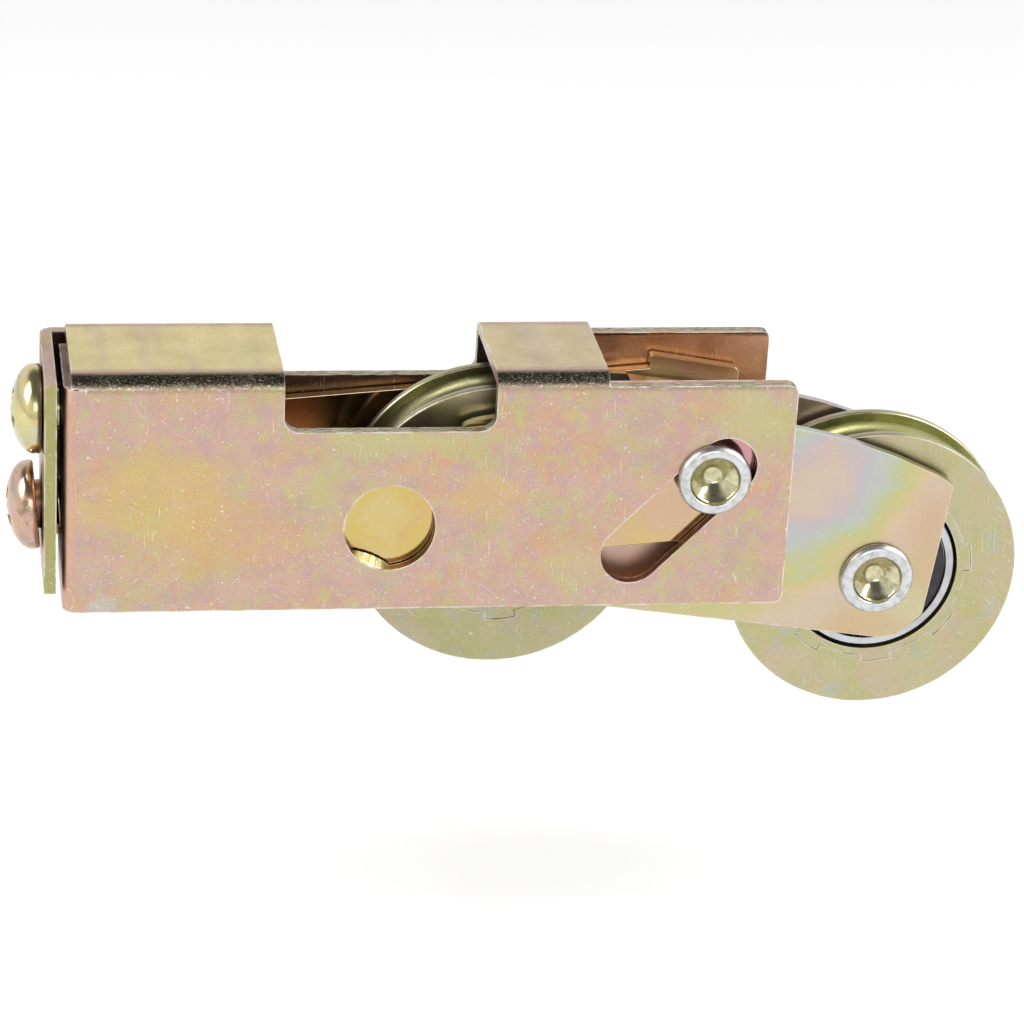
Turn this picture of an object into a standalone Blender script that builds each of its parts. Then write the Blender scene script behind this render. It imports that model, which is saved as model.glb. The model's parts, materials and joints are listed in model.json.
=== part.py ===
"""Tandem sliding-door roller: housing, screw-drawn link and a rocker with two grooved wheels."""

import math

import bmesh
import bpy
from mathutils import Matrix, Vector

MM = 0.001
SHARP_ANGLE = math.radians(35)

# Housing: inverted channel. The origin is on the top face of its web, +X away from the screws.
HOUSING_LEFT = -14.0
HOUSING_RIGHT = 77.6
HOUSING_HALF_WIDTH = 10.25
HOUSING_HEIGHT = 31.5
SHEET = 1.5
WEB_BEND_OUTER = 2.4
BEND_OUTER = 1.8
BEND_INNER = BEND_OUTER - SHEET
BEND_STEPS = 4
INNER_BEND_STEPS = 2
WEB_START = -13.1
WEB_END = 53.6
OPEN_WALL_TOP = -1.55
NOTCH_LEFT = 13.05
NOTCH_RIGHT = 39.5
NOTCH_BOTTOM = -7.35
NOTCH_RADIUS = 2.0
WALL_HOLE_AT = (26.7, -20.4)
WALL_HOLE_RADIUS = 5.75
END_CORNER_RADIUS = 1.3

# Pivot slot: it leans up to the right in both walls.
PIVOT_AT = (67.6, -14.1)
SLOT_ANGLE = math.radians(46.0)
SLOT_RADIUS = 3.9
SLOT_BELOW = 14.4
SLOT_ABOVE = 2.2

# End plates that carry the screws.
FLANGE_TOP = -1.9
FLANGE_EDGE = 5.4
END_PLATE_OUTER = -16.3
END_PLATE_EDGE = -9.4
END_PLATE_TOP = -1.2
END_PLATE_BOTTOM = -29.2
CORNER_LAP = 0.9

# Screws.
SCREW_RADIUS = 3.1
HEAD_RADIUS = 5.65
HEAD_HEIGHT = 3.8
CLAMP_Z = -8.03
CLAMP_TIP = -5.0
CLAMP_GAP = 0.1
CLAMP_HOLE_RADIUS = 3.4
DRAW_HEAD_X = -16.92
LINK_TILT = math.radians(4.684)
DRAW_LENGTH = 26.0
DRAW_PLATE_HOLE_RADIUS = 3.65
DRAW_FLANGE_HOLE_RADIUS = 3.9
DRAW_FLANGE_HOLE_DROP = 0.18
END_HOLE_SPAN = 1.1
CLAMP_HOLE_SPAN = 5.0
HEAD_CROWN = (
    (0.0, 0.0),
    (2.83, 0.39),
    (4.63, 1.24),
    (5.46, 2.15),
    (HEAD_RADIUS, 2.9),
    (HEAD_RADIUS, HEAD_HEIGHT - 0.3),
    (HEAD_RADIUS - 0.3, HEAD_HEIGHT),
)
TIP_CHAMFER = 0.8
RECESS_DEPTH = 2.4
RECESS_SPAN = 6.4
RECESS_WIDTH = 1.5
RECESS_LEAD = 0.3
RECESS_FLOOR_HALF = 1.1
RETAINER_AT = 5.6
RETAINER_THICKNESS = 0.5
RETAINER_BORE = 3.4
RETAINER_RADIUS = 5.4

# Link, in its own axes: origin on the pivot, +X along the link away from the screws.
LINK_OUTER = 8.45
LINK_INNER = 7.0
LINK_LEFT = -67.7
LINK_BOTTOM = -9.04
LINK_TOP = 8.57
LINK_END_HALF_HEIGHT = 7.4
LINK_BEND = 1.9
LINK_RELIEF_LEFT = -33.2
LINK_RELIEF_RIGHT = -18.0
LINK_RELIEF_TOP = 0.6
LINK_RELIEF_STEPS = 10
LINK_NOSE = (
    (5.34, LINK_BOTTOM),
    (6.55, 7.2),
    (6.2, 7.66),
    (-4.5, 10.4),
    (-5.0, 10.3),
    (-5.1, LINK_TOP),
)
LINK_END_LAP = 2.0
LINK_END_HOLE_SPAN = 4.0
PIVOT_CLEARANCE_RADIUS = 3.9
NUT_BORE = 3.6
NUT_ACROSS_FLATS = 11.1
NUT_THICKNESS = 5.0
NUT_HOLE_SPAN = 9.0
NUT_GAP = 0.1

# Rocker, in its own axes: origin on the pivot, +X towards the outer wheel.
ROCKER_TILT = math.radians(-7.9)
ROCKER_OUTER = 6.65
ROCKER_INNER = 5.35
AXLE_SPAN = 25.0
AXLE_DROP = 12.35
ROCKER_BRIDGE_HALF = 10.0
ROCKER_BRIDGE_TOP = 6.75
ROCKER_BEND = 1.6
ROCKER_BRIDGE_BOTTOM = 3.5
ROCKER_BRIDGE_LAP = 0.5
ROCKER_ARM = (
    (16.6, 6.15),
    (24.0, 4.55),
    (30.75, 2.45),
    (32.0, 1.9),
    (32.3, 1.15),
    (32.3, -16.75),
    (30.84, -18.58),
    (29.47, -20.14),
    (27.82, -20.64),
    (26.8, -20.75),
)

# Rivets: a rim, a coned mouth and a flat-bottomed hole at each end.
AXLE_SHANK = 3.85
AXLE_RIM = 4.85
AXLE_REACH = 7.85
PIVOT_SHANK = 3.6
PIVOT_RIM = 4.7
PIVOT_REACH = 11.45
RIM_GAP = 0.12
RIM_CHAMFER = 0.45
MOUTH_RADIUS = 3.2
MOUTH_CHAMFER = 0.15
CONE_FLOOR_RADIUS = 0.85
CONE_DEPTH = 2.5
AXLE_HOLE_RADIUS = 4.0

# Wheel and its bearing cup.
WHEEL_RADIUS = 19.05
WHEEL_HALF_WIDTH = 4.35
WHEEL_EDGE = 0.25
GROOVE_SIDE = (
    (WHEEL_RADIUS, 3.1),
    (17.2, 2.75),
    (16.0, 1.75),
    (15.6, 0.6),
)
CUP_OUTER = 12.2
CUP_BORE = 11.3
CUP_LIP_BORE = 9.9
CUP_LIP = 1.35
TAB_COUNT = 8
TAB_RADIUS = 13.1
TAB_ROOT = 11.6
TAB_THICKNESS = 0.8
TAB_ANGLE = math.radians(17.0)
TAB_SIDE_GAP = math.radians(0.7)
TAB_STEPS = 3
TAB_PHASES = (math.radians(-85.5), math.radians(-38.0))
FIT_GAP = 0.15
CUP_SETBACK = 0.05

# Ball bearing: 8 mm bore, 22 mm outside, 7 mm wide.
BEARING_BORE = 4.0
BEARING_RADIUS = 11.0
BEARING_HALF_WIDTH = 3.5
BEARING_SHIFT = -0.65
INNER_LAND = 5.9
INNER_GROOVE = 5.35
OUTER_LAND = 9.1
OUTER_GROOVE = 9.68
BALL_GROOVE = (1.4, 0.5)
RACE_CHAMFER = 0.3
SEAL_SEAT = 9.85
SEAL_LEDGE = (2.85, 2.75)
BALL_COUNT = 7
BALL_RADIUS = 1.984
BALL_PITCH_RADIUS = 7.5
CAGE_INNER = 7.0
CAGE_OUTER = 8.0
CAGE_HALF_WIDTH = 2.6
POCKET_RADIUS = 2.2
POCKET_SPAN = (5.0, 10.0)
SEAL_INNER = 6.05
SEAL_OUTER = 9.7
SEAL_FACE = 3.3
SEAL_THICKNESS = 0.4
SPACER_RADIUS = 5.6
SPACER_GAP = 0.1

WHEEL_STEPS = 40
BEARING_STEPS = 22
ROUND_STEPS = 20
HOLE_STEPS = 32
INSIDE_STEPS = 16
POCKET_STEPS = 10
CUT_REACH = 40.0
CUT_MARGIN = 1.0

MATERIALS = {
    "zinc_sheet": ((0.52, 0.40, 0.20), 0.38, 1.0),
    "zinc_rocker": ((0.56, 0.52, 0.36), 0.32, 1.0),
    "zinc_screw": ((0.58, 0.47, 0.27), 0.30, 1.0),
    "bright_rivet": ((0.62, 0.58, 0.45), 0.25, 1.0),
    "zinc_wheel": ((0.60, 0.57, 0.40), 0.34, 1.0),
    "bearing_steel": ((0.66, 0.66, 0.66), 0.22, 1.0),
    "cage_steel": ((0.50, 0.49, 0.47), 0.40, 1.0),
    "black_seal": ((0.03, 0.03, 0.035), 0.55, 0.0),
}


def clear_scene():
    """Start from an empty scene."""
    for obj in list(bpy.data.objects):
        bpy.data.objects.remove(obj, do_unlink=True)


def make_materials():
    """One Principled material per finish."""
    made = {}
    for name, (colour, roughness, metallic) in MATERIALS.items():
        material = bpy.data.materials.new(name)
        material.use_nodes = True
        shader = material.node_tree.nodes["Principled BSDF"]
        shader.inputs["Base Color"].default_value = (*colour, 1.0)
        shader.inputs["Roughness"].default_value = roughness
        shader.inputs["Metallic"].default_value = metallic
        made[name] = material
    return made


def object_from(name, points, faces, material=None):
    """A mesh object from points in millimetres, with its faces turned outwards."""
    mesh = bpy.data.meshes.new(name)
    mesh.from_pydata([Vector(p) * MM for p in points], [], faces)
    shell = bmesh.new()
    shell.from_mesh(mesh)
    bmesh.ops.recalc_face_normals(shell, faces=shell.faces)
    shell.to_mesh(mesh)
    shell.free()
    obj = bpy.data.objects.new(name, mesh)
    bpy.context.scene.collection.objects.link(obj)
    if material is not None:
        mesh.materials.append(material)
    mesh.shade_smooth()
    mesh.set_sharp_from_angle(angle=SHARP_ANGLE)
    return obj


def prism(name, outline, low, high, axis="Y", material=None):
    """A polygon swept between two levels: (x, z) along Y, (x, y) along Z or (y, z) along X."""
    place = {
        "Y": lambda a, b, level: (a, level, b),
        "Z": lambda a, b, level: (a, b, level),
        "X": lambda a, b, level: (level, a, b),
    }[axis]
    count = len(outline)
    points = [place(a, b, level) for level in (low, high) for a, b in outline]
    sides = [(i, (i + 1) % count, count + (i + 1) % count, count + i) for i in range(count)]
    ends = [tuple(range(count)), tuple(range(count, 2 * count))]
    return object_from(name, points, sides + ends, material)


def turned(name, profile, steps, material=None, closed=True):
    """A profile of (radius, along) turned about Y. An open profile starts and ends on the axis."""
    points = []
    rings = []
    for radius, along in profile:
        if radius == 0:
            rings.append([len(points)] * steps)
            points.append((0.0, along, 0.0))
            continue
        rings.append(list(range(len(points), len(points) + steps)))
        for k in range(steps):
            angle = 2 * math.pi * k / steps
            points.append((radius * math.cos(angle), along, radius * math.sin(angle)))
    faces = []
    last = len(rings) if closed else len(rings) - 1
    for i in range(last):
        first, second = rings[i], rings[(i + 1) % len(rings)]
        for k in range(steps):
            corners = [first[k], first[(k + 1) % steps], second[(k + 1) % steps], second[k]]
            faces.append(tuple(dict.fromkeys(corners)))
    return object_from(name, points, faces, material)


def arc(centre, radius, start, end, steps):
    """Points of an arc, in degrees from +first to +second axis."""
    found = []
    for k in range(steps + 1):
        angle = math.radians(start + (end - start) * k / steps)
        found.append((centre[0] + radius * math.cos(angle), centre[1] + radius * math.sin(angle)))
    return found


def combine(target, other, operation="DIFFERENCE"):
    """Cut another shape from the target, or join it on."""
    other.hide_render = True
    other.display_type = "WIRE"
    change = target.modifiers.new(other.name, "BOOLEAN")
    change.operation = operation
    change.object = other
    return target


def follow(other, target):
    """Carry a cutter along with the piece it shapes."""
    other.parent = target


def bore(target, name, at, radius, axis="Y", span=CUT_REACH, steps=ROUND_STEPS):
    """Drill a round hole along one axis, centred at a point."""
    profile = [(0, -span), (radius, -span), (radius, span), (0, span)]
    cutter = turned(name, profile, steps, closed=False)
    if axis == "X":
        cutter.rotation_euler = (0, 0, math.pi / 2)
    cutter.location = Vector(at) * MM
    combine(target, cutter)
    return cutter


def channel_outline(half, top, bend_outer, sheet, bottom):
    """Cross-section of an inverted channel with rounded bends, as (y, z)."""
    inner = bend_outer - sheet
    centre_z = top - bend_outer
    side = half - bend_outer
    outline = [(half, bottom)]
    outline += arc((side, centre_z), bend_outer, 0, 90, BEND_STEPS)
    outline += arc((-side, centre_z), bend_outer, 90, 180, BEND_STEPS)
    outline += [(-half, bottom), (-half + sheet, bottom)]
    outline += arc((-side, centre_z), inner, 180, 90, INNER_BEND_STEPS)
    outline += arc((side, centre_z), inner, 90, 0, INNER_BEND_STEPS)
    outline += [(half - sheet, bottom)]
    return outline


def notch_outline():
    """The gap in the web and in the top of both walls, as (x, z)."""
    low = NOTCH_BOTTOM + NOTCH_RADIUS
    outline = [(NOTCH_LEFT, CUT_MARGIN)]
    outline += arc((NOTCH_LEFT + NOTCH_RADIUS, low), NOTCH_RADIUS, 180, 270, BEND_STEPS)
    outline += arc((NOTCH_RIGHT - NOTCH_RADIUS, low), NOTCH_RADIUS, 270, 360, BEND_STEPS)
    outline += [(NOTCH_RIGHT, CUT_MARGIN)]
    return outline


def slot_outline():
    """The pivot slot, as (x, z)."""
    degrees = math.degrees(SLOT_ANGLE)
    along = Vector((math.cos(SLOT_ANGLE), math.sin(SLOT_ANGLE)))
    low = Vector(PIVOT_AT) - along * SLOT_BELOW
    high = Vector(PIVOT_AT) + along * SLOT_ABOVE
    half_turn = ROUND_STEPS // 2
    outline = arc(high, SLOT_RADIUS, degrees - 90, degrees + 90, half_turn)
    outline += arc(low, SLOT_RADIUS, degrees + 90, degrees + 270, half_turn)
    return outline


def wall_end_outline(corner_z, up):
    """The waste outside a rounded corner at the right end of the walls, as (x, z)."""
    centre = (HOUSING_RIGHT - END_CORNER_RADIUS, corner_z - up * END_CORNER_RADIUS)
    outside_x = HOUSING_RIGHT + CUT_MARGIN
    outside_z = corner_z + up * CUT_MARGIN
    outline = arc(centre, END_CORNER_RADIUS, up * 90, 0, BEND_STEPS)
    return outline + [(outside_x, centre[1]), (outside_x, outside_z), (centre[0], outside_z)]


def near_corner_outline():
    """The near wall turning in to the inner end flange, as (x, y)."""
    turn_x = HOUSING_LEFT + BEND_OUTER
    turn_y = -HOUSING_HALF_WIDTH + BEND_OUTER
    lap = turn_x + CORNER_LAP
    outline = [(lap, -HOUSING_HALF_WIDTH)]
    outline += arc((turn_x, turn_y), BEND_OUTER, 270, 180, BEND_STEPS)
    outline += [(HOUSING_LEFT, FLANGE_EDGE), (HOUSING_LEFT + SHEET, FLANGE_EDGE)]
    outline += arc((turn_x, turn_y), BEND_INNER, 180, 270, INNER_BEND_STEPS)
    outline += [(lap, -HOUSING_HALF_WIDTH + SHEET)]
    return outline


def far_corner_outline():
    """The far wall turning in to the outer end plate, as (x, y)."""
    turn_x = END_PLATE_OUTER + BEND_OUTER
    turn_y = HOUSING_HALF_WIDTH - BEND_OUTER
    lap = HOUSING_LEFT + BEND_OUTER + CORNER_LAP
    outline = [(lap, HOUSING_HALF_WIDTH)]
    outline += arc((turn_x, turn_y), BEND_OUTER, 90, 180, BEND_STEPS)
    outline += [(END_PLATE_OUTER, END_PLATE_EDGE), (END_PLATE_OUTER + SHEET, END_PLATE_EDGE)]
    outline += arc((turn_x, turn_y), BEND_INNER, 180, 90, INNER_BEND_STEPS)
    outline += [(lap, HOUSING_HALF_WIDTH - SHEET)]
    return outline


def box_outline(left, right, low, high):
    """A rectangle."""
    return [(left, low), (right, low), (right, high), (left, high)]


def make_housing(finish):
    """The inverted channel with its notch, pivot slots, side holes and doubled end."""
    section = channel_outline(HOUSING_HALF_WIDTH, 0.0, WEB_BEND_OUTER, SHEET, -HOUSING_HEIGHT)
    housing = prism("housing", section, WEB_START, HOUSING_RIGHT, "X", finish)
    wall_start = HOUSING_LEFT + BEND_OUTER
    before = HOUSING_LEFT - CUT_MARGIN
    below = -HOUSING_HEIGHT - CUT_MARGIN
    beyond = HOUSING_RIGHT + CUT_MARGIN
    cuts = {
        "cut_wall_start": box_outline(before, wall_start, below, -SHEET),
        "cut_open_top": box_outline(WEB_END, beyond, OPEN_WALL_TOP, CUT_MARGIN),
        "cut_notch": notch_outline(),
        "cut_slot": slot_outline(),
        "cut_upper_corner": wall_end_outline(OPEN_WALL_TOP, 1),
        "cut_lower_corner": wall_end_outline(-HOUSING_HEIGHT, -1),
    }
    for name, outline in cuts.items():
        combine(housing, prism(name, outline, -CUT_REACH, CUT_REACH))
    hole_x, hole_z = WALL_HOLE_AT
    bore(housing, "cut_wall_hole", (hole_x, 0, hole_z), WALL_HOLE_RADIUS, steps=HOLE_STEPS)
    flange = prism("join_flange", near_corner_outline(), -HOUSING_HEIGHT, FLANGE_TOP, "Z")
    combine(housing, flange, "UNION")
    plate = prism("join_end_plate", far_corner_outline(), END_PLATE_BOTTOM, END_PLATE_TOP, "Z")
    combine(housing, plate, "UNION")
    drill_screw_holes(housing)


def drill_screw_holes(housing):
    """The clamp screw's hole through both end plates, and the adjusting screw's hole in each."""
    middle = (HOUSING_LEFT + END_PLATE_OUTER) / 2
    bore(housing, "cut_clamp", (middle, 0, CLAMP_Z), CLAMP_HOLE_RADIUS, "X", CLAMP_HOLE_SPAN)
    plate_x = END_PLATE_OUTER + SHEET / 2
    plate_at = (plate_x, 0, draw_axis_z(plate_x))
    bore(housing, "cut_draw_plate", plate_at, DRAW_PLATE_HOLE_RADIUS, "X", END_HOLE_SPAN)
    flange_x = HOUSING_LEFT + SHEET / 2
    flange_at = (flange_x, 0, draw_axis_z(flange_x) - DRAW_FLANGE_HOLE_DROP)
    bore(housing, "cut_draw_flange", flange_at, DRAW_FLANGE_HOLE_RADIUS, "X", END_HOLE_SPAN)


def draw_axis_z(at_x):
    """Height of the adjusting screw's axis, which aims at the pivot."""
    return PIVOT_AT[1] + (at_x - PIVOT_AT[0]) * math.tan(LINK_TILT)


def make_screw(name, length, finish):
    """A pan-head screw with a cross recess. Local +Y runs down the shank, from under the head."""
    profile = [(radius, depth - HEAD_HEIGHT) for radius, depth in HEAD_CROWN]
    profile += [
        (SCREW_RADIUS, 0.0),
        (SCREW_RADIUS, length - TIP_CHAMFER),
        (SCREW_RADIUS - TIP_CHAMFER, length),
        (0.0, length),
    ]
    screw = turned(name, profile, ROUND_STEPS, finish, closed=False)
    half = RECESS_WIDTH / 2
    for number in range(2):
        cutter = prism(f"{name}_recess_{number}", recess_outline(), -half, half, "Z")
        cutter.rotation_euler = (0, number * math.pi / 2, 0)
        follow(cutter, screw)
        combine(screw, cutter)
    return screw


def recess_outline():
    """One wing of the cross recess, tapering to its floor, as (x, y)."""
    outside = -HEAD_HEIGHT - CUT_MARGIN
    lead = -HEAD_HEIGHT + RECESS_LEAD
    floor = -HEAD_HEIGHT + RECESS_DEPTH
    half = RECESS_SPAN / 2
    narrow = half - RECESS_LEAD
    return [
        (-half, outside),
        (half, outside),
        (narrow, lead),
        (RECESS_FLOOR_HALF, floor),
        (-RECESS_FLOOR_HALF, floor),
        (-narrow, lead),
    ]


def aim(obj, at, tilt=0.0):
    """Point local +Y along +X, tipped up by a tilt, at a place in the XZ plane."""
    turn = Matrix.Rotation(-tilt, 4, "Y") @ Matrix.Rotation(-math.pi / 2, 4, "Z")
    obj.rotation_euler = turn.to_euler()
    obj.location = Vector((at[0], 0, at[1])) * MM


def make_screws(finish, steel):
    """The clamp screw, the adjusting screw and the ring that keeps it in."""
    clamp_face = END_PLATE_OUTER - CLAMP_GAP
    clamp = make_screw("clamp_screw", CLAMP_TIP - clamp_face, finish)
    aim(clamp, (clamp_face, CLAMP_Z))
    seat = (DRAW_HEAD_X, draw_axis_z(DRAW_HEAD_X))
    draw = make_screw("adjusting_screw", DRAW_LENGTH, finish)
    aim(draw, seat, LINK_TILT)
    far_face = RETAINER_AT + RETAINER_THICKNESS
    ring = box_outline(RETAINER_BORE, RETAINER_RADIUS, RETAINER_AT, far_face)
    aim(turned("screw_retainer", ring, ROUND_STEPS, steel), seat, LINK_TILT)


def link_side_outline():
    """One side plate of the link with the relief over the inner axle, as (x, z)."""
    relief_centre = (LINK_RELIEF_LEFT + LINK_RELIEF_RIGHT) / 2
    span = (LINK_RELIEF_RIGHT - LINK_RELIEF_LEFT) / 2
    outline = [(LINK_LEFT + LINK_BEND, LINK_BOTTOM), (LINK_RELIEF_LEFT, LINK_BOTTOM)]
    outline += arc((relief_centre, LINK_RELIEF_TOP - span), span, 180, 0, LINK_RELIEF_STEPS)
    outline += [(LINK_RELIEF_RIGHT, LINK_BOTTOM), *LINK_NOSE, (LINK_LEFT + LINK_BEND, LINK_TOP)]
    return outline


def link_end_outline():
    """The link's end wall with its two bends, as (x, y)."""
    turn_x = LINK_LEFT + LINK_BEND
    turn_y = LINK_OUTER - LINK_BEND
    inner = LINK_BEND - (LINK_OUTER - LINK_INNER)
    lap = turn_x + LINK_END_LAP
    outline = [(lap, LINK_OUTER)]
    outline += arc((turn_x, turn_y), LINK_BEND, 90, 180, BEND_STEPS)
    outline += arc((turn_x, -turn_y), LINK_BEND, 180, 270, BEND_STEPS)
    outline += [(lap, -LINK_OUTER), (lap, -LINK_INNER)]
    outline += arc((turn_x, -turn_y), inner, 270, 180, INNER_BEND_STEPS)
    outline += arc((turn_x, turn_y), inner, 180, 90, INNER_BEND_STEPS)
    outline += [(lap, LINK_INNER)]
    return outline


def make_link(finish, nut_finish):
    """The stirrup that the adjusting screw draws, and the nut behind its end wall."""
    half_height = LINK_END_HALF_HEIGHT
    link = prism("adjusting_link", link_end_outline(), -half_height, half_height, "Z", finish)
    for side in (-1, 1):
        levels = sorted((side * LINK_INNER, side * LINK_OUTER))
        plate = prism(f"join_link_side_{side}", link_side_outline(), *levels)
        follow(plate, link)
        combine(link, plate, "UNION")
    follow(bore(link, "cut_link_pivot", (0, 0, 0), PIVOT_CLEARANCE_RADIUS), link)
    follow(bore(link, "cut_link_screw", (LINK_LEFT, 0, 0), NUT_BORE, "X", LINK_END_HOLE_SPAN), link)
    start = LINK_LEFT + (LINK_OUTER - LINK_INNER) + NUT_GAP
    corner = NUT_ACROSS_FLATS / math.sqrt(3)
    hexagon = arc((0, 0), corner, 0, 300, 5)
    nut = prism("adjuster_nut", hexagon, start, start + NUT_THICKNESS, "X", nut_finish)
    follow(bore(nut, "cut_nut", (start, 0, 0), NUT_BORE, "X", NUT_HOLE_SPAN), nut)
    for obj in (link, nut):
        obj.rotation_euler = (0, -LINK_TILT, 0)
        obj.location = Vector((PIVOT_AT[0], 0, PIVOT_AT[1])) * MM


def rocker_side_outline():
    """One plate of the rocker, as (x, z), lowered in the middle where the bridge joins it."""
    shoulder = ROCKER_BRIDGE_TOP - ROCKER_BEND
    inset = ROCKER_BRIDGE_HALF - ROCKER_BRIDGE_LAP
    half = [(inset, shoulder), (ROCKER_BRIDGE_HALF, ROCKER_BRIDGE_TOP), *ROCKER_ARM]
    return half + [(-x, z) for x, z in reversed(half)]


def make_rocker(finish):
    """The equalising channel that carries both axles."""
    sheet = ROCKER_OUTER - ROCKER_INNER
    section = channel_outline(
        ROCKER_OUTER, ROCKER_BRIDGE_TOP, ROCKER_BEND, sheet, ROCKER_BRIDGE_BOTTOM
    )
    rocker = prism("rocker", section, -ROCKER_BRIDGE_HALF, ROCKER_BRIDGE_HALF, "X", finish)
    for side in (-1, 1):
        levels = sorted((side * ROCKER_INNER, side * ROCKER_OUTER))
        plate = prism(f"join_rocker_side_{side}", rocker_side_outline(), *levels)
        follow(plate, rocker)
        combine(rocker, plate, "UNION")
    follow(bore(rocker, "cut_rocker_pivot", (0, 0, 0), PIVOT_CLEARANCE_RADIUS), rocker)
    for side in (-1, 1):
        at = (side * AXLE_SPAN, 0, -AXLE_DROP)
        follow(bore(rocker, f"cut_axle_{side}", at, AXLE_HOLE_RADIUS), rocker)
    rocker.rotation_euler = (0, -ROCKER_TILT, 0)
    rocker.location = Vector((PIVOT_AT[0], 0, PIVOT_AT[1])) * MM


def rivet_profile(shank, rim, reach, seat):
    """Half of a rivet with a coned mouth, from its middle to its tip, mirrored into a whole."""
    half = [
        (shank, seat),
        (rim, seat),
        (rim, reach - RIM_CHAMFER),
        (rim - RIM_CHAMFER, reach),
        (MOUTH_RADIUS + MOUTH_CHAMFER, reach),
        (MOUTH_RADIUS, reach - MOUTH_CHAMFER),
        (CONE_FLOOR_RADIUS, reach - CONE_DEPTH),
        (0, reach - CONE_DEPTH),
    ]
    return [(r, -y) for r, y in reversed(half)] + half


def make_pivot(finish):
    """The pivot rivet that slides in both slots."""
    profile = rivet_profile(PIVOT_SHANK, PIVOT_RIM, PIVOT_REACH, HOUSING_HALF_WIDTH + RIM_GAP)
    pivot = turned("pivot_rivet", profile, ROUND_STEPS, finish, closed=False)
    pivot.location = Vector((PIVOT_AT[0], 0, PIVOT_AT[1])) * MM


def groove_profile():
    """Rim of the wheel from one side face to the other, down into the track groove."""
    half = [
        (WHEEL_RADIUS - WHEEL_EDGE, WHEEL_HALF_WIDTH),
        (WHEEL_RADIUS, WHEEL_HALF_WIDTH - WHEEL_EDGE),
        *GROOVE_SIDE,
    ]
    return [(r, -y) for r, y in half] + [(r, y) for r, y in reversed(half)]


def wedge_outline(radius, angle, half_angle):
    """A sector reaching out from the cup, as (x, z)."""
    low = math.degrees(angle - half_angle)
    high = math.degrees(angle + half_angle)
    return arc((0, 0), TAB_ROOT, high, low, 1) + arc((0, 0), radius, low, high, TAB_STEPS)


def make_wheel(tag, phase, finish, cup_finish):
    """The grooved wheel and the cup that grips its bearing, with tabs clinched over the near face.

    The cup's tabs lie in shallow pockets in the wheel.
    """
    seat = CUP_OUTER + FIT_GAP
    profile = [(seat, -WHEEL_HALF_WIDTH), *groove_profile(), (seat, WHEEL_HALF_WIDTH)]
    wheel = turned(f"{tag}_wheel", profile, WHEEL_STEPS, finish)
    half = WHEEL_HALF_WIDTH - CUP_SETBACK
    lip = half - CUP_LIP
    cup_profile = [
        (CUP_BORE, -half),
        (CUP_OUTER, -half),
        (CUP_OUTER, half),
        (CUP_LIP_BORE, half),
        (CUP_LIP_BORE, lip),
        (CUP_BORE, lip),
    ]
    cup = turned(f"{tag}_bearing_cup", cup_profile, WHEEL_STEPS, cup_finish)
    for number in range(TAB_COUNT):
        angle = phase + 2 * math.pi * number / TAB_COUNT
        tab = wedge_outline(TAB_RADIUS, angle, TAB_ANGLE / 2)
        piece = prism(f"join_{tag}_tab_{number}", tab, -half, -half + TAB_THICKNESS)
        follow(piece, cup)
        combine(cup, piece, "UNION")
        pocket = wedge_outline(TAB_RADIUS + FIT_GAP, angle, TAB_ANGLE / 2 + TAB_SIDE_GAP)
        floor = -half + TAB_THICKNESS + FIT_GAP
        waste = prism(f"cut_{tag}_pocket_{number}", pocket, -half - CUT_MARGIN, floor)
        follow(waste, wheel)
        combine(wheel, waste)
    return [wheel, cup]


def outer_race_profile():
    """Outer race with a ball groove and a step for each seal."""
    half = [
        (BEARING_RADIUS, BEARING_HALF_WIDTH - RACE_CHAMFER),
        (BEARING_RADIUS - RACE_CHAMFER, BEARING_HALF_WIDTH),
        (SEAL_SEAT, BEARING_HALF_WIDTH),
        (SEAL_SEAT, SEAL_LEDGE[0]),
        (OUTER_LAND, SEAL_LEDGE[1]),
        (OUTER_LAND, BALL_GROOVE[0]),
        (OUTER_GROOVE, BALL_GROOVE[1]),
    ]
    return half + [(r, -y) for r, y in reversed(half)]


def inner_race_profile():
    """Inner race with its ball groove."""
    half = [
        (BEARING_BORE, BEARING_HALF_WIDTH),
        (INNER_LAND, BEARING_HALF_WIDTH),
        (INNER_LAND, BALL_GROOVE[0]),
        (INNER_GROOVE, BALL_GROOVE[1]),
    ]
    return half + [(r, -y) for r, y in reversed(half)]


def make_cage(tag, finish):
    """The ring that keeps the balls apart, with one round pocket per ball."""
    ring = box_outline(CAGE_INNER, CAGE_OUTER, -CAGE_HALF_WIDTH, CAGE_HALF_WIDTH)
    cage = turned(f"{tag}_ball_cage", ring, BEARING_STEPS, finish)
    low, high = POCKET_SPAN
    profile = [(0, low), (POCKET_RADIUS, low), (POCKET_RADIUS, high), (0, high)]
    for number in range(BALL_COUNT):
        angle = 2 * math.pi * number / BALL_COUNT
        cutter = turned(f"cut_{tag}_pocket_ball_{number}", profile, POCKET_STEPS, closed=False)
        turn = Matrix.Rotation(-angle, 4, "Y") @ Matrix.Rotation(-math.pi / 2, 4, "Z")
        cutter.rotation_euler = turn.to_euler()
        follow(cutter, cage)
        combine(cage, cutter)
    return cage


def make_ball(tag, number, finish):
    """One ball, on the pitch circle."""
    shell = bmesh.new()
    bmesh.ops.create_icosphere(shell, subdivisions=2, radius=BALL_RADIUS)
    angle = 2 * math.pi * number / BALL_COUNT
    centre = Vector((math.cos(angle), 0, math.sin(angle))) * BALL_PITCH_RADIUS
    points = [vertex.co + centre for vertex in shell.verts]
    faces = [tuple(vertex.index for vertex in face.verts) for face in shell.faces]
    shell.free()
    return object_from(f"{tag}_ball_{number + 1}", points, faces, finish)


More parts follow.
